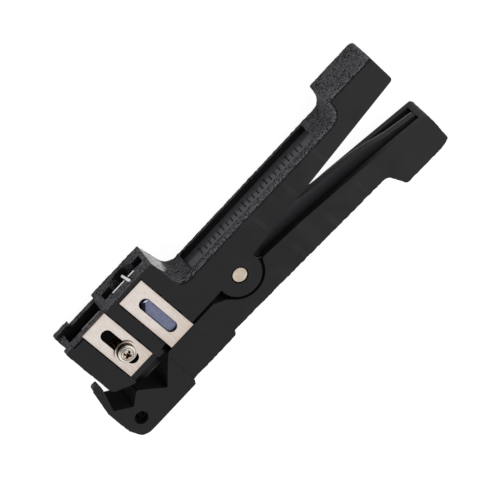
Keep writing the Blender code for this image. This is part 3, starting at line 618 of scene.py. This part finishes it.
def metalSurface(f, shade, rough, height, look):
    bump = f.bump(height, look.get("bump", grindLook["bump"]), look["depth"])
    return f.surface(Base_Color=shade, Metallic=1.0, Roughness=rough.limit(), Normal=bump)


def groundMetal(name, look):
    f = newFinish(name)
    streaks = f.streaks(look["grind"])
    patches = f.noise(f.spot(), grindLook["patchPerMm"])
    rough = look["rough"] + (streaks - 0.5) * grindLook["streakRough"]
    rough = rough + (patches - 0.5) * grindLook["patchRough"]
    return metalSurface(f, metalTone(f, look, streaks, patches), rough, streaks, look)


# The slotted plates: brushed along their length, painted dark as painted shade where they roll over
# at the sheared edges and along a thin line just inside, and a little browner toward their lower ends.
plateLook = {
    "base": colour(0.830, 0.765, 0.720),
    "tint": colour(0.660, 0.580, 0.525),
    "low": colour(0.600, 0.490, 0.410),
    # Painted shade along the plates' edges and in a thin line just inside them.
    "rimShade": colour(0.300, 0.215, 0.170),
    # Painted shade on the plates' sides.
    "side": colour(0.045, 0.034, 0.030),
    "rough": 0.30,
    "streakRough": 0.16,
    "grind": (5.0, 0.35, 5.0),
    "depth": 0.010,
    "patchPerMm": 0.30,
    "patchShare": 0.15,
    "fleckPerMm": 2.6,
    "fleckShare": 0.45,
    "leastTint": 0.20,
    "brownSlant": 0.9,
    "brownUp": (0.5, 15.0),
    "brownMix": (0.7, 0.5),
    "brownTone": (0.35, 0.75),
    "brownShare": 0.85,
    "rimWide": (0.06, 0.24),
    "creaseIn": 0.55,
    "creaseWide": (0.03, 0.13),
    "creaseShare": 0.35,
    "rimDeep": (0.35, 0.25),
    "rimShare": 0.8,
}


def plateSteel(name, look, node):
    low, high = boxOf(node)
    f = newFinish(name)
    x, y, z = f.split(f.spot())
    streaks = f.streaks(look["grind"], 0.7)
    fleck = f.noise(f.spot(), look["fleckPerMm"], 2.0, 0.6) * look["fleckShare"]
    patches = look["leastTint"] + f.noise(f.spot(), look["patchPerMm"]) * look["patchShare"] + fleck
    shade = metalTone(f, look, streaks, patches)
    across = (high.x - low.x) / 2 - abs(x - (low.x + high.x) / 2)
    up = y - low.y
    inward = across.atMost(up).atMost(high.y - y)
    lower = 1 - f.rise(up + across * look["brownSlant"], *look["brownUp"])
    ofStreaks, ofPatches = look["brownMix"]
    browned = lower * f.rise(streaks * ofStreaks + patches * ofPatches, *look["brownTone"])
    shade = f.blendColours(browned * look["brownShare"], shade, look["low"])
    crease = 1 - f.rise(abs(inward - look["creaseIn"]), *look["creaseWide"])
    rimShade = (1 - f.rise(inward, *look["rimWide"])) + crease * look["creaseShare"]
    top = f.rise(z, *(toolFrame["thickness"] - deep for deep in look["rimDeep"]))
    shade = f.blendColours((rimShade * top).limit() * look["rimShare"], shade, look["rimShade"])
    rough = look["rough"] + (streaks - 0.5) * look["streakRough"]
    return metalSurface(f, shade, rough, streaks, look)


# The guide bar is tinted blue, with painted shade at its chamfered tip and along its edges, and a painted
# glint at the tip.
barLook = {
    "base": colour(0.200, 0.218, 0.318),
    "tint": colour(0.138, 0.152, 0.240),
    # Painted shade at the tip and along the edges; the next tone is a painted glint.
    "dark": colour(0.012, 0.012, 0.020),
    "paintedGlint": colour(0.800, 0.820, 0.860),
    "rough": 0.34,
    "grind": (7.0, 0.5, 7.0),
    "depth": 0.006,
    "patchPerMm": 0.8,
    "patchShare": 0.5,
    "leastTint": 0.25,
    "edgeX": (1.75, 2.20),
    "edgeRagged": 0.5,
    "edgeShare": 0.6,
    "tipH": (17.3, 18.2),
    "tipSlant": 1.1,
    "tipRagged": 0.8,
    "glintAt": (0.75, 18.35),
    "glintFlat": (0.55, 1.70),
    "glintSlant": 0.35,
    "glintWide": (0.30, 0.62),
}


def tintedBar(name, look, node):
    low, high = boxOf(node)
    f = newFinish(name)
    x, y, z = f.split(f.spot())
    streaks = f.streaks(look["grind"])
    patches = look["leastTint"] + f.noise(f.spot(), look["patchPerMm"]) * look["patchShare"]
    across = x - (low.x + high.x) / 2
    h = y - toolFrame["pivotY"]
    shade = metalTone(f, look, streaks, patches)
    edge = f.rise(abs(across) + streaks * look["edgeRagged"], *look["edgeX"])
    tip = f.rise(h - across * look["tipSlant"] + patches * look["tipRagged"], *look["tipH"])
    shade = f.blendColours((tip + edge * look["edgeShare"]).limit(), shade, look["dark"])
    nickX, nickH = look["glintAt"]
    flatX, flatH = look["glintFlat"]
    fromGlint = abs(across - nickX) * flatX + abs(h - nickH + across * look["glintSlant"]) * flatH
    shade = f.blendColours(1 - f.rise(fromGlint, *look["glintWide"]), shade, look["paintedGlint"])
    rough = look["rough"] + (streaks - 0.5) * grindLook["streakRough"]
    return metalSurface(f, shade, rough, streaks, look)


# The screws are bright plated, with painted shade in the recess, in the step round the crown, on the
# skirt and in a thin ring, and a painted brown reflection in the recess.
screwTone = {
    "base": colour(1.000, 0.960, 0.900),
    "tint": colour(0.800, 0.720, 0.620),
    # Painted shade on the screw heads' flanks.
    "side": colour(0.110, 0.080, 0.060),
    # Painted shade for the recess, the step and the skirt; the next tone is a painted brown reflection in
    # the recess and a painted shade ring.
    "dark": colour(0.060, 0.035, 0.024),
    "paintedReflectionAndShade": colour(0.330, 0.200, 0.115),
    "grind": (1.4, 1.4, 1.4),
    "patchPerMm": 1.1,
    "glintPerMm": 2.4,
    "reflectionR": (1.2, 1.9),
    "reflectionGlint": (0.40, 0.54),
    "reflectionShare": 0.9,
    "ringR": 1.62,
    "ringWide": (0.10, 0.24),
    "ringShare": 0.6,
    "recessDeep": (0.15, 0.50),
    "recessR": (1.75, 1.90),
    "recessGlint": (0.46, 0.58),
    "stepR": 2.12,
    "stepWide": (0.04, 0.18),
    "stepDeep": (0.6, 0.8),
    "skirtR": (2.78, 2.98),
    "skirtDeep": (3.0, 3.2),
    "skirtShare": 0.9,
    "shadeLeast": 0.8,
    "shadePatch": 0.4,
    "rough": 0.12,
    "recessRough": 0.15,
    "streakRough": 0.10,
    "bump": 0.4,
    "depth": 0.02,
}


def platedScrew(name, look, node):
    low, high = boxOf(node)
    f = newFinish(name)
    x, y, z = f.split(f.spot())
    streaks = f.streaks(look["grind"])
    patches = f.noise(f.spot(), look["patchPerMm"])
    glint = f.noise(f.spot(), look["glintPerMm"])
    r = distance(x - (low.x + high.x) / 2, y - (low.y + high.y) / 2)
    deep = high.z - z
    shade = metalTone(f, look, streaks, patches)
    paintedReflectionAndShade = (1 - f.rise(r, *look["reflectionR"])) * f.rise(glint, *look["reflectionGlint"])
    shade = f.blendColours(paintedReflectionAndShade * look["reflectionShare"], shade, look["paintedReflectionAndShade"])
    ring = 1 - f.rise(abs(r - look["ringR"]), *look["ringWide"])
    shade = f.blendColours(ring * look["ringShare"], shade, look["paintedReflectionAndShade"])
    recess = f.rise(deep, *look["recessDeep"]) * (1 - f.rise(r, *look["recessR"]))
    step = (1 - f.rise(abs(r - look["stepR"]), *look["stepWide"])) * (1 - f.rise(deep, *look["stepDeep"]))
    skirt = f.rise(r, *look["skirtR"]) * (1 - f.rise(deep, *look["skirtDeep"]))
    screwShade = recess * f.rise(glint, *look["recessGlint"]) + step + skirt * look["skirtShare"]
    screwShadeShare = (screwShade.limit() * (look["shadeLeast"] + patches * look["shadePatch"])).limit()
    shade = f.blendColours(screwShadeShare, shade, look["dark"])
    rough = look["rough"] + recess * look["recessRough"] + (streaks - 0.5) * look["streakRough"]
    return metalSurface(f, shade, rough, patches, look)


# The front blade is dark, and bright where its lower end was ground and on its end faces.
bladeEndLook = {
    "bright": colour(0.340, 0.335, 0.330),
    "dark": colour(0.024, 0.024, 0.026),
    "brightY": (-5.75, -5.45),
    "ragged": 0.3,
    "endNy": (0.80, 0.95),
    "grind": (0.6, 9.0, 9.0),
    "rough": 0.30,
    "streakRough": 0.12,
    "bump": 0.4,
    "depth": 0.006,
}


def darkBlade(name, look):
    f = newFinish(name)
    x, y, z = f.split(f.spot())
    nx, ny, nz = f.facing()
    streaks = f.streaks(look["grind"], 0.6)
    ground = 1 - f.rise(y + streaks * look["ragged"], *look["brightY"])
    ends = f.rise(abs(ny), *look["endNy"])
    shade = f.blendColours((ground + ends).limit(), look["dark"], look["bright"])
    return metalSurface(f, shade, look["rough"] + streaks * look["streakRough"], streaks, look)


# The scale's ticks are smoother and darker than the panel, paler in patches.
tickTone = {
    "dark": colour(0.0035, 0.0032, 0.0036),
    "pale": colour(0.0075, 0.0070, 0.0078),
    "rubPerMm": 2.5,
    "paleFrom": (0.35, 0.70),
    "rough": 0.30,
    "rubRough": 0.15,
    "specular": 0.12,
}


def darkTickFinish(name, look):
    f = newFinish(name)
    rub = f.noise(f.spot(), look["rubPerMm"])
    return f.surface(
        Base_Color=f.blendColours(f.rise(rub, *look["paleFrom"]), look["dark"], look["pale"]),
        Roughness=look["rough"] + rub * look["rubRough"],
        Specular_IOR_Level=look["specular"],
    )


finishes = {
    "upperMoulding": mouldedNylon("upperMoulding", nylonLook, upperMasks, sinkLook["upper"]),
    "lowerMoulding": mouldedNylon("lowerMoulding", nylonLook, lowerMasks, sinkLook["lower"]),
    "frontBladeSteel": darkBlade("frontBladeSteel", bladeEndLook),
    "tickDark": darkTickFinish("tickDark", tickTone),
    "rearPlateSteel": plateSteel("rearPlateSteel", plateLook, "rear_side_plate"),
    "frontPlateSteel": plateSteel("frontPlateSteel", plateLook, "front_side_plate"),
    "blued": tintedBar("blued", barLook, "rear_guide_bar"),
    "screwPlating": platedScrew("screwPlating", screwTone, "front_screw"),
}
for metal, metalLook in metalLooks.items():
    finishes[metal] = groundMetal(metal, metalLook)
print("finishes made:", len(finishes))

# A torsion spring's legs turn with a lever each. Its piece is left fixed where it lies, on
# neither body.
springLook = {"coilR": 4.7, "bodies": ("upper_handle", "lower_handle")}


def addPiece(name, bm, body, finish, replaced=(), smooth=30.0):
    # Stores the mesh as a piece that rides on its body, or, given two bodies, is left fixed where it
    # lies.
    mesh = bpy.data.meshes.new(name)
    bm.to_mesh(mesh)
    bm.free()
    mesh.shade_smooth()
    mesh.set_sharp_from_angle(angle=math.radians(smooth))
    mesh.materials.append(finishes[finish])
    piece = bpy.data.objects.new(name, mesh)
    bpy.context.scene.collection.objects.link(piece)
    if isinstance(body, tuple):
        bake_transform(piece)
    else:
        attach(piece, body)
    if replaced:
        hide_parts(*replaced)
    weigh = piece.modifiers.new("weigh", "WEIGHTED_NORMAL")
    weigh.keep_sharp = True


def bodyOf(node):
    return frame["nodes"][node]["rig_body"]


# How a node's mesh is made whole again, and which of its edges are softened, in metres and degrees.
meshLook = {"weld": 2e-6, "flat": 0.3, "sharperThan": 35.0, "shortest": 2.2}


def nodeMesh(node):
    # A node's own mesh, welded, with its flat faces made whole again.
    bm = bmesh.new()
    bm.from_mesh(frame["nodes"][node].data)
    bmesh.ops.remove_doubles(bm, verts=bm.verts, dist=meshLook["weld"])
    flat = math.radians(meshLook["flat"])
    bmesh.ops.dissolve_limit(bm, angle_limit=flat, verts=bm.verts, edges=bm.edges)
    return bm


def softenEdges(bm, width, segments, within=None):
    # Takes the sharpness off the outer edges, but for those too short for it.
    wanted = []
    for edge in bm.edges:
        if len(edge.link_faces) != 2 or not edge.is_convex:
            continue
        if edge.calc_length() < meshLook["shortest"] * width * mm:
            continue
        if within and not all(within(v.co) for v in edge.verts):
            continue
        if edge.calc_face_angle(0.0) > math.radians(meshLook["sharperThan"]):
            wanted.append(edge)
    bmesh.ops.bevel(
        bm,
        geom=wanted,
        offset=width * mm,
        offset_type="OFFSET",
        segments=segments,
        profile=0.5,
        affect="EDGES",
        clamp_overlap=True,
    )


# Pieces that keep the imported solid's form: node, finish, slot, and the softening's width in
# millimetres and its segments.
keptForms = {
    "upperLever": ("upper_lever", "upperMoulding", "upper_moulding", 0.10, 2),
    "lowerLever": ("lower_lever", "lowerMoulding", "lower_moulding", 0.10, 2),
    "rearSidePlate": ("rear_side_plate", "rearPlateSteel", "plate_steel", 0.16, 1),
    "frontSidePlate": ("front_side_plate", "frontPlateSteel", "plate_steel", 0.16, 1),
    "rearGuideBar": ("rear_guide_bar", "blued", "tinted_bar", 0.06, 2),
    "rearBlade": ("rear_blade", "bladeSteel", "blade_steel", 0.02, 1),
    "frontBlade": ("front_blade", "frontBladeSteel", "blade_steel", 0.02, 1),
    "frontNut": ("front_nut", "brass", "nut_brass", 0.12, 2),
}

# Spark-eroded grain on the levers' outer edges, in millimetres. The net's cuts are shifted a
# little, off the solids' own edges.
grainLook = {
    "net": 0.55,
    "netShift": 0.0103,
    "depth": 0.24,
    "perMm": 0.75,
    "finePerMm": 1.9,
    "fineFrom": Vector((9.0, 4.0, 2.0)),
    "middle": 0.5,
    "coarseShare": 0.9,
    "fineShare": 0.45,
    "flatNz": 0.985,
}

# The upper lever's smooth places, and where the lower lever is grained, by the tool's own x, h, t.
upperSmooth = {
    "backWallX": (-18.0, -15.0),
    "backWallH": 15.5,
    "backWallNx": 0.8,
    "panelX": (-9.2, 48.0),
    "panelH": (11.3, 13.7),
    "panelT": (1.8, 12.9),
    "channelX": -14.0,
    "channelH": 8.7,
    "endX": 77.5,
    "jawH": 2.0,
    "windowsX": (-54.0, -17.0),
    "windowsH": 26.6,
    "windowsT": (0.5, 13.7),
}
lowerRough = {"endX": 77.0, "underH": -12.9, "frontX": -57.0, "frontNx": -0.3, "lipH": 8.0}


def between(value, span):
    return span[0] < value < span[1]


def upperGrained(co, normal):
    # Everything outside but the recessed panel, the head's back wall and the channel below.
    x, h, t = toolPlace(co)
    zone = upperSmooth
    if between(x, zone["backWallX"]) and h > zone["backWallH"] and normal.x > zone["backWallNx"]:
        return False
    if between(x, zone["panelX"]) and between(h, zone["panelH"]) and between(t, zone["panelT"]):
        return False
    if h < zone["channelH"] and x > zone["channelX"]:
        return x > zone["endX"]
    inWindows = between(x, zone["windowsX"]) and between(t, zone["windowsT"]) and h < zone["windowsH"]
    return h >= zone["jawH"] and not inWindows


def lowerGrained(co, normal):
    x, h, t = toolPlace(co)
    zone = lowerRough
    if x > zone["endX"] or h < zone["underH"] or h > zone["lipH"]:
        return True
    return x < zone["frontX"] and normal.x < zone["frontNx"]


grainedSides = {"upperLever": upperGrained, "lowerLever": lowerGrained}


def cutNet(bm, axis, look):
    # Cuts the marked faces by planes across one axis.
    values = [v.co[axis] for face in bm.faces if face.material_index for v in face.verts]
    low = min(values)
    step = look["net"] * mm
    tiny = 1e-6
    across = Vector((0.0, 0.0, 0.0))
    across[axis] = 1.0
    for i in range(1, int((max(values) - low) / step) + 1):
        level = low + i * step - look["netShift"] * mm
        near = []
        for face in bm.faces:
            if not face.material_index:
                continue
            reach = [v.co[axis] for v in face.verts]
            if min(reach) < level - tiny and max(reach) > level + tiny:
                near.append(face)
        parts = set(near)
        for face in near:
            parts.update(face.edges)
            parts.update(face.verts)
        cut = across * level
        bmesh.ops.bisect_plane(bm, geom=list(parts), dist=tiny / 10, plane_co=cut, plane_no=across)


def grainMove(vert, look):
    # How far the noise pushes a corner of the net in, along the plain faces that it touches.
    marked = [face for face in vert.link_faces if face.material_index]
    push = sum((face.normal for face in marked), Vector())
    for face in vert.link_faces:
        if not face.material_index:
            push = push - face.normal * push.dot(face.normal)
    if push.length < 1e-3:
        return None
    where = vert.co / mm
    coarse = noise.noise(where * look["perMm"])
    fine = noise.noise(where * look["finePerMm"] + look["fineFrom"])
    amount = look["middle"] + look["coarseShare"] * coarse + look["fineShare"] * fine
    return push.normalized() * (-look["depth"] * mm * min(1.0, max(0.0, amount)))


def roughen(bm, grained, look):
    # Cuts the grained faces into a fine net and pushes its corners in by noise.
    bm.normal_update()
    for face in bm.faces:
        flat = abs(face.normal.z) > look["flatNz"]
        face.material_index = int(not flat and grained(face.calc_center_median(), face.normal))
    for axis in (0, 2, 1):
        cutNet(bm, axis, look)
    bm.normal_update()
    moves = [(vert, grainMove(vert, look)) for vert in bm.verts]
    # Nothing moves outside the lever's own box.
    low = [min(v.co[axis] for v in bm.verts) for axis in range(3)]
    high = [max(v.co[axis] for v in bm.verts) for axis in range(3)]
    for vert, move in moves:
        if move:
            moved = vert.co + move
            vert.co = [min(max(moved[axis], low[axis]), high[axis]) for axis in range(3)]
    for face in bm.faces:
        face.material_index = 0


# The V grooves' rims on the near face are worn rounder.
grooveRim = {"wide": 0.32, "segments": 2, "toX": -34.0, "h": (-9.6, 0.5), "deep": 0.5}


def onGrooves(co):
    x, h, t = toolPlace(co)
    return x < grooveRim["toX"] and between(h, grooveRim["h"]) and t < grooveRim["deep"]


def makeKeptForms(forms):
    for name, (node, finish, slot, width, segments) in forms.items():
        bm = nodeMesh(node)
        if name == "lowerLever":
            softenEdges(bm, grooveRim["wide"], grooveRim["segments"], onGrooves)
        softenEdges(bm, width, segments)
        if name in grainedSides:
            roughen(bm, grainedSides[name], grainLook)
        addPiece(name, bm, bodyOf(node), finish, (node,))


def makeSpring(look):
    bm = nodeMesh("return_spring")
    addPiece("returnSpring", bm, look["bodies"], "wire", ("return_spring",))


makeKeptForms(keptForms)
makeSpring(springLook)
print("levers, plates, blades and spring dressed")


def latheMesh(profile, steps, thread=None):
    # Turns a profile of (radius, z) in millimetres about the z axis. Where a thread is given,
    # the rings between its two heights follow its helix.
    bm = bmesh.new()
    rings = []
    for radius, z in profile:
        if radius < 1e-6:
            rings.append([bm.verts.new((0.0, 0.0, z * mm))])
            continue
        ring = []
        for i in range(steps):
            angle = math.tau * i / steps
            r = radius
            if thread and thread["low"] < z < thread["high"]:
                phase = (z / thread["pitch"] - i / steps) % 1.0
                r = radius + thread["depth"] * (1.0 - abs(2.0 * phase - 1.0))
            ring.append(bm.verts.new((r * math.cos(angle) * mm, r * math.sin(angle) * mm, z * mm)))
        rings.append(ring)
    for low, high in zip(rings, rings[1:]):
        for i in range(steps):
            j = (i + 1) % steps
            if len(low) == 1:
                bm.faces.new((low[0], high[j], high[i]))
            elif len(high) == 1:
                bm.faces.new((low[i], low[j], high[0]))
            else:
                bm.faces.new((low[i], low[j], high[j], high[i]))
    bmesh.ops.recalc_face_normals(bm, faces=bm.faces)
    return bm


def roundBox(node):
    # The middle of a round piece's bottom in metres, and its radius and height in millimetres.
    low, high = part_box(node)
    foot = Vector(((low.x + high.x) / 2, (low.y + high.y) / 2, low.z))
    return foot, (high.x - low.x) / 2 / mm, (high.z - low.z) / mm


def cutWith(bm, cutter):
    # Cuts one mesh from another and gives the result as a mesh to go on with.
    made = []
    for part in (bm, cutter):
        mesh = bpy.data.meshes.new("cutWork")
        part.to_mesh(mesh)
        part.free()
        obj = bpy.data.objects.new("cutWork", mesh)
        bpy.context.scene.collection.objects.link(obj)
        made.append(obj)
    step = made[0].modifiers.new("cut", "BOOLEAN")
    step.operation = "DIFFERENCE"
    step.solver = "EXACT"
    step.object = made[1]
    graph = bpy.context.evaluated_depsgraph_get()
    result = bmesh.new()
    result.from_object(made[0], graph)
    for obj in made:
        bpy.data.objects.remove(obj)
    return result


# The two clamp screws: pan heads with a cross recess and a fine thread. The brim is given by how
# far it lies inside the head's radius and above its seat, the step by its distance from the
# crown's radius and its height above the seat, the crown by the same and its depth below the top.
screwLook = {
    "headH": 1.9,
    "brim": ((0.10, 0.0), (0.0, 0.10), (0.0, 0.55), (0.07, 0.85), (0.30, 1.20), (0.62, 1.42)),
    "crownR": 1.95,
    "step": ((0.16, 1.52), (0.02, 1.58), (-0.10, 1.72)),
    "crown": ((-0.35, 0.08), (-0.80, 0.01)),
    "shankR": 1.45,
    "neck": 0.02,
    "tip": 0.35,
    "steps": 72,
    "threadSteps": 6,
    "coreFrom": 0.4,
    "coreTo": 0.1,
    "threadFrom": 0.6,
    "threadTo": 0.3,
    "pitch": 0.5,
    "threadDepth": 0.22,
    "recessArm": 1.65,
    "recessHalf": 0.40,
    "recessCorner": 1.5,
    "recessDeep": 1.25,
    "recessOver": 0.5,
    "recessWider": 1.12,
    "recessNarrow": 0.42,
    "turn": 24.0,
    "smooth": 24.0,
}


def crossCutter(look, top):
    arm = look["recessArm"]
    half = look["recessHalf"]
    corner = half * look["recessCorner"]
    outline = []
    for quarter in range(4):
        spin = Matrix.Rotation(quarter * math.pi / 2, 2)
        for point in ((arm, -half), (arm, half), (corner, corner)):
            outline.append(spin @ Vector(point))
    bm = bmesh.new()
    tiers = []
    for z, share in (
        (top + look["recessOver"], look["recessWider"]),
        (top - look["recessDeep"], look["recessNarrow"]),
    ):
        tiers.append([bm.verts.new((p.x * share * mm, p.y * share * mm, z * mm)) for p in outline])
    upper, lower = tiers
    bm.faces.new(upper)
    bm.faces.new(lower[::-1])
    count = len(outline)
    for i in range(count):
        j = (i + 1) % count
        bm.faces.new((upper[j], upper[i], lower[i], lower[j]))
    bmesh.ops.recalc_face_normals(bm, faces=bm.faces)
    bmesh.ops.rotate(bm, matrix=Matrix.Rotation(math.radians(look["turn"]), 3, "Z"), verts=bm.verts)
    return bm


def screwProfile(look, headR, top):
    # From the tip's middle up the shank, round the head and in to the top's middle.
    seat = top - look["headH"]
    core = look["shankR"] - look["threadDepth"]
    tip = look["tip"]
    profile = [(0.0, 0.0), (core - tip, 0.0), (core, tip)]
    straight = seat - look["coreFrom"] - look["coreTo"]
    rows = int(straight / look["pitch"] * look["threadSteps"])
    profile += [(core, look["coreFrom"] + straight * i / rows) for i in range(rows + 1)]
    profile.append((look["shankR"], seat - look["neck"]))
    profile += [(headR - inset, seat + up) for inset, up in look["brim"]]
    profile += [(look["crownR"] + out, seat + up) for out, up in look["step"]]
    profile += [(look["crownR"] + out, top - down) for out, down in look["crown"]]
    profile.append((0.0, top))
    return profile


def makeScrew(name, node, look, headUp):
    foot, headR, top = roundBox(node)
    profile = screwProfile(look, headR, top)
    thread = {
        "low": look["threadFrom"],
        "high": top - look["headH"] - look["threadTo"],
        "pitch": look["pitch"],
        "depth": look["threadDepth"],
    }
    bm = cutWith(latheMesh(profile, look["steps"], thread), crossCutter(look, top))
    move = Matrix.Translation(foot)
    if not headUp:
        move = move @ Matrix.Translation((0.0, 0.0, top * mm)) @ Matrix.Rotation(math.pi, 4, "X")
    bmesh.ops.transform(bm, matrix=move, verts=bm.verts)
    addPiece(name, bm, bodyOf(node), "screwPlating", (node,), look["smooth"])


makeScrew("frontScrew", "front_screw", screwLook, True)
makeScrew("rearScrew", "rear_screw", screwLook, False)

washerLook = {"holeR": 1.6, "edge": 0.16, "dish": 0.05, "steps": 72, "smooth": 24.0}


def makeWasher(name, node, look):
    foot, r, h = roundBox(node)
    e = look["edge"]
    hole = look["holeR"]
    outline = [
        (hole, 0.05),
        (hole + 0.05, 0.0),
        (r - e * 0.5, 0.0),
        (r - 0.03, e * 0.3),
        (r, e),
        (r, h - e),
        (r - 0.04, h - e * 0.4),
        (r - e, h),
        (r - e - 0.5, h - look["dish"] * 0.4),
        (hole + 0.4, h - look["dish"]),
        (hole + 0.12, h),
        (hole, h - 0.1),
        (hole, 0.05),
    ]
    bm = latheMesh(outline, look["steps"])
    bmesh.ops.remove_doubles(bm, verts=bm.verts, dist=1e-7)
    bmesh.ops.recalc_face_normals(bm, faces=bm.faces)
    bmesh.ops.translate(bm, vec=foot, verts=bm.verts)
    addPiece(name, bm, bodyOf(node), "plating", (node,), look["smooth"])


makeWasher("frontWasher", "front_washer", washerLook)
makeWasher("rearWasher", "rear_washer", washerLook)
print("screws and washers turned")

pinLook = {"chamfer": 0.22, "dimple": 0.05, "dimpleR": (0.55, 0.62), "steps": 64, "smooth": 32.0}


def makePivotPin(look):
    foot, r, h = roundBox("pivot_pin")
    c = look["chamfer"]
    inner, outer = look["dimpleR"]
    end = [
        (0.0, look["dimple"]),
        (r * inner, look["dimple"]),
        (r * outer, 0.0),
        (r - c, 0.0),
        (r - c * 0.3, c * 0.3),
        (r, c),
    ]
    bm = latheMesh(end + [(radius, h - z) for radius, z in reversed(end)], look["steps"])
    bmesh.ops.translate(bm, vec=foot, verts=bm.verts)
    addPiece("pivotPin", bm, bodyOf("pivot_pin"), "pinSteel", ("pivot_pin",), look["smooth"])


# The dowel that crosses the head leans in its notch.
crossPinLook = {
    "r": 0.65,
    "length": 6.9,
    "lean": 10.6,
    "domed": 0.9,
    "rows": 8,
    "steps": 64,
    "smooth": 32.0,
}


def makeCrossPin(look):
    node = "rear_cross_pin"
    low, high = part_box(node)
    length = look["length"]
    end = []
    for i in range(look["rows"] + 1):
        angle = i * math.pi / (2 * look["rows"])
        end.append((look["r"] * math.sin(angle), look["domed"] * look["r"] * (1 - math.cos(angle))))
    bm = latheMesh(end + [(radius, length - z) for radius, z in reversed(end)], look["steps"])
    lean = Matrix.Rotation(math.radians(look["lean"]), 4, "Y")
    middle = Matrix.Translation((0.0, 0.0, -length / 2 * mm))
    bmesh.ops.transform(bm, matrix=Matrix.Translation((low + high) / 2) @ lean @ middle, verts=bm.verts)
    addPiece("rearCrossPin", bm, bodyOf(node), "bladeSteel", (node,), look["smooth"])


makePivotPin(pinLook)
makeCrossPin(crossPinLook)
print("pins turned")

# A plain scale of raised ticks in the handle's recessed panel.
tickLook = {
    "firstX": -3.0,
    "spacing": 2.0,
    "count": 24,
    "every": 5,
    "short": 2.2,
    "long": 3.6,
    "wide": 0.46,
    "proud": 0.28,
    "sunk": 0.05,
    "soft": 0.07,
    "floorH": 11.5,
    "footT": 7.0,
}


def makeTicks(look):
    bm = bmesh.new()
    for i in range(look["count"]):
        length = look["long"] if i % look["every"] == 0 else look["short"]
        middle = place(
            look["firstX"] + look["spacing"] * i,
            look["floorH"] + (look["proud"] - look["sunk"]) / 2,
            look["footT"] + length / 2,
        )
        size = Vector((look["wide"], look["proud"] + look["sunk"], length)) * mm
        shape = Matrix.Translation(middle) @ Matrix.Diagonal((*size, 1.0))
        bmesh.ops.create_cube(bm, size=1.0, matrix=shape)
    floorY = place(0.0, look["floorH"], 0.0).y
    crests = [edge for edge in bm.edges if all(v.co.y > floorY for v in edge.verts)]
    bmesh.ops.bevel(bm, geom=crests, offset=look["soft"] * mm, segments=2, profile=0.5, affect="EDGES")
    addPiece("panelTicks", bm, bodyOf("upper_lever"), "tickDark")


makeTicks(tickLook)
print("panel ticks raised")

plainWhite = colour(1.0, 1.0, 1.0)

# A pale floor, white to the camera but for the tool's soft shadow.
stageLook = {
    "size": 6.0,
    "drop": 0.0004,
    "floor": colour(0.90, 0.90, 0.90),
    "glow": 1.12,
    "glossyShare": 0.6,
    "shadowShare": 0.16,
}


def makeFloor(look):
    f = newFinish("paleFloor")
    ray = f.add("ShaderNodeLightPath")
    seen = ray.other("Is Camera Ray") + ray.other("Is Glossy Ray") * look["glossyShare"]
    seen = (seen + ray.other("Is Transmission Ray")).limit()
    matt = f.add("ShaderNodeBsdfDiffuse", {}, {"Color": look["floor"]})
    white = f.add("ShaderNodeEmission", {}, {"Color": plainWhite, "Strength": look["glow"]})
    mixed = f.add("ShaderNodeMixShader", {}, {0: seen * (1.0 - look["shadowShare"]), 1: matt, 2: white})
    f.add("ShaderNodeOutputMaterial", {}, {"Surface": mixed})
    bm = bmesh.new()
    bmesh.ops.create_grid(bm, x_segments=1, y_segments=1, size=look["size"] / 2)
    mesh = bpy.data.meshes.new("paleFloor")
    bm.to_mesh(mesh)
    bm.free()
    mesh.materials.append(f.owner)
    floor = bpy.data.objects.new("paleFloor", mesh)
    floor.location = (0.0, 0.0, -look["drop"])
    bpy.context.scene.collection.objects.link(floor)


# The room that lights the tool: a white card over its front, pale side walls and a dark wall at
# its back, each by the part of the direction's x, y and z that it fills.
roomLook = {
    "air": 0.70,
    "card": 0.25,
    "cardY": (-0.20, 0.05),
    "cardZ": (0.25, 0.50),
    "sides": 0.25,
    "sidesX": (0.45, 0.75),
    "sidesZ": (0.40, 0.65),
    "back": 0.52,
    "backY": (0.15, 0.45),
    "backZ": (-0.05, 0.10),
}


def makeWorld(look):
    world = bpy.data.worlds.new("studio")
    bpy.context.scene.world = world
    f = Finish(world)
    seen = f.add("ShaderNodeLightPath").other("Is Camera Ray")
    x, y, z = f.split(f.add("ShaderNodeTexCoord").other("Generated"))
    card = (1 - f.rise(y, *look["cardY"])) * f.rise(z, *look["cardZ"])
    sides = f.rise(abs(x), *look["sidesX"]) * (1 - f.rise(z, *look["sidesZ"]))
    back = f.rise(y, *look["backY"]) * (1 - sides) * f.rise(z, *look["backZ"])
    room = (look["air"] + card * look["card"] + sides * look["sides"] - back * look["back"]).limit()
    strength = seen + (1 - seen) * room
    light = f.add("ShaderNodeBackground", {}, {"Color": plainWhite, "Strength": strength})
    f.add("ShaderNodeOutputWorld", {}, {"Surface": light})


# Large soft boxes, kept out of the shiny pieces' reflections.
lampLooks = {
    "overHead": {"place": (-0.55, -0.30, 0.95), "size": 0.7, "power": 3.2},
    "overHandle": {"place": (0.70, 0.20, 0.90), "size": 0.7, "power": 1.6},
}


def makeLamps(looks):
    for name, look in looks.items():
        data = bpy.data.lights.new(name, "AREA")
        data.shape = "SQUARE"
        data.size = look["size"]
        data.energy = look["power"]
        lamp = bpy.data.objects.new(name, data)
        lamp.location = look["place"]
        lamp.rotation_euler = Vector(look["place"]).to_track_quat("Z", "Y").to_euler()
        lamp.visible_glossy = False
        bpy.context.scene.collection.objects.link(lamp)


makeFloor(stageLook)
makeWorld(roomLook)
makeLamps(lampLooks)
bpy.context.scene.view_settings.view_transform = "Standard"
print("stage lit")
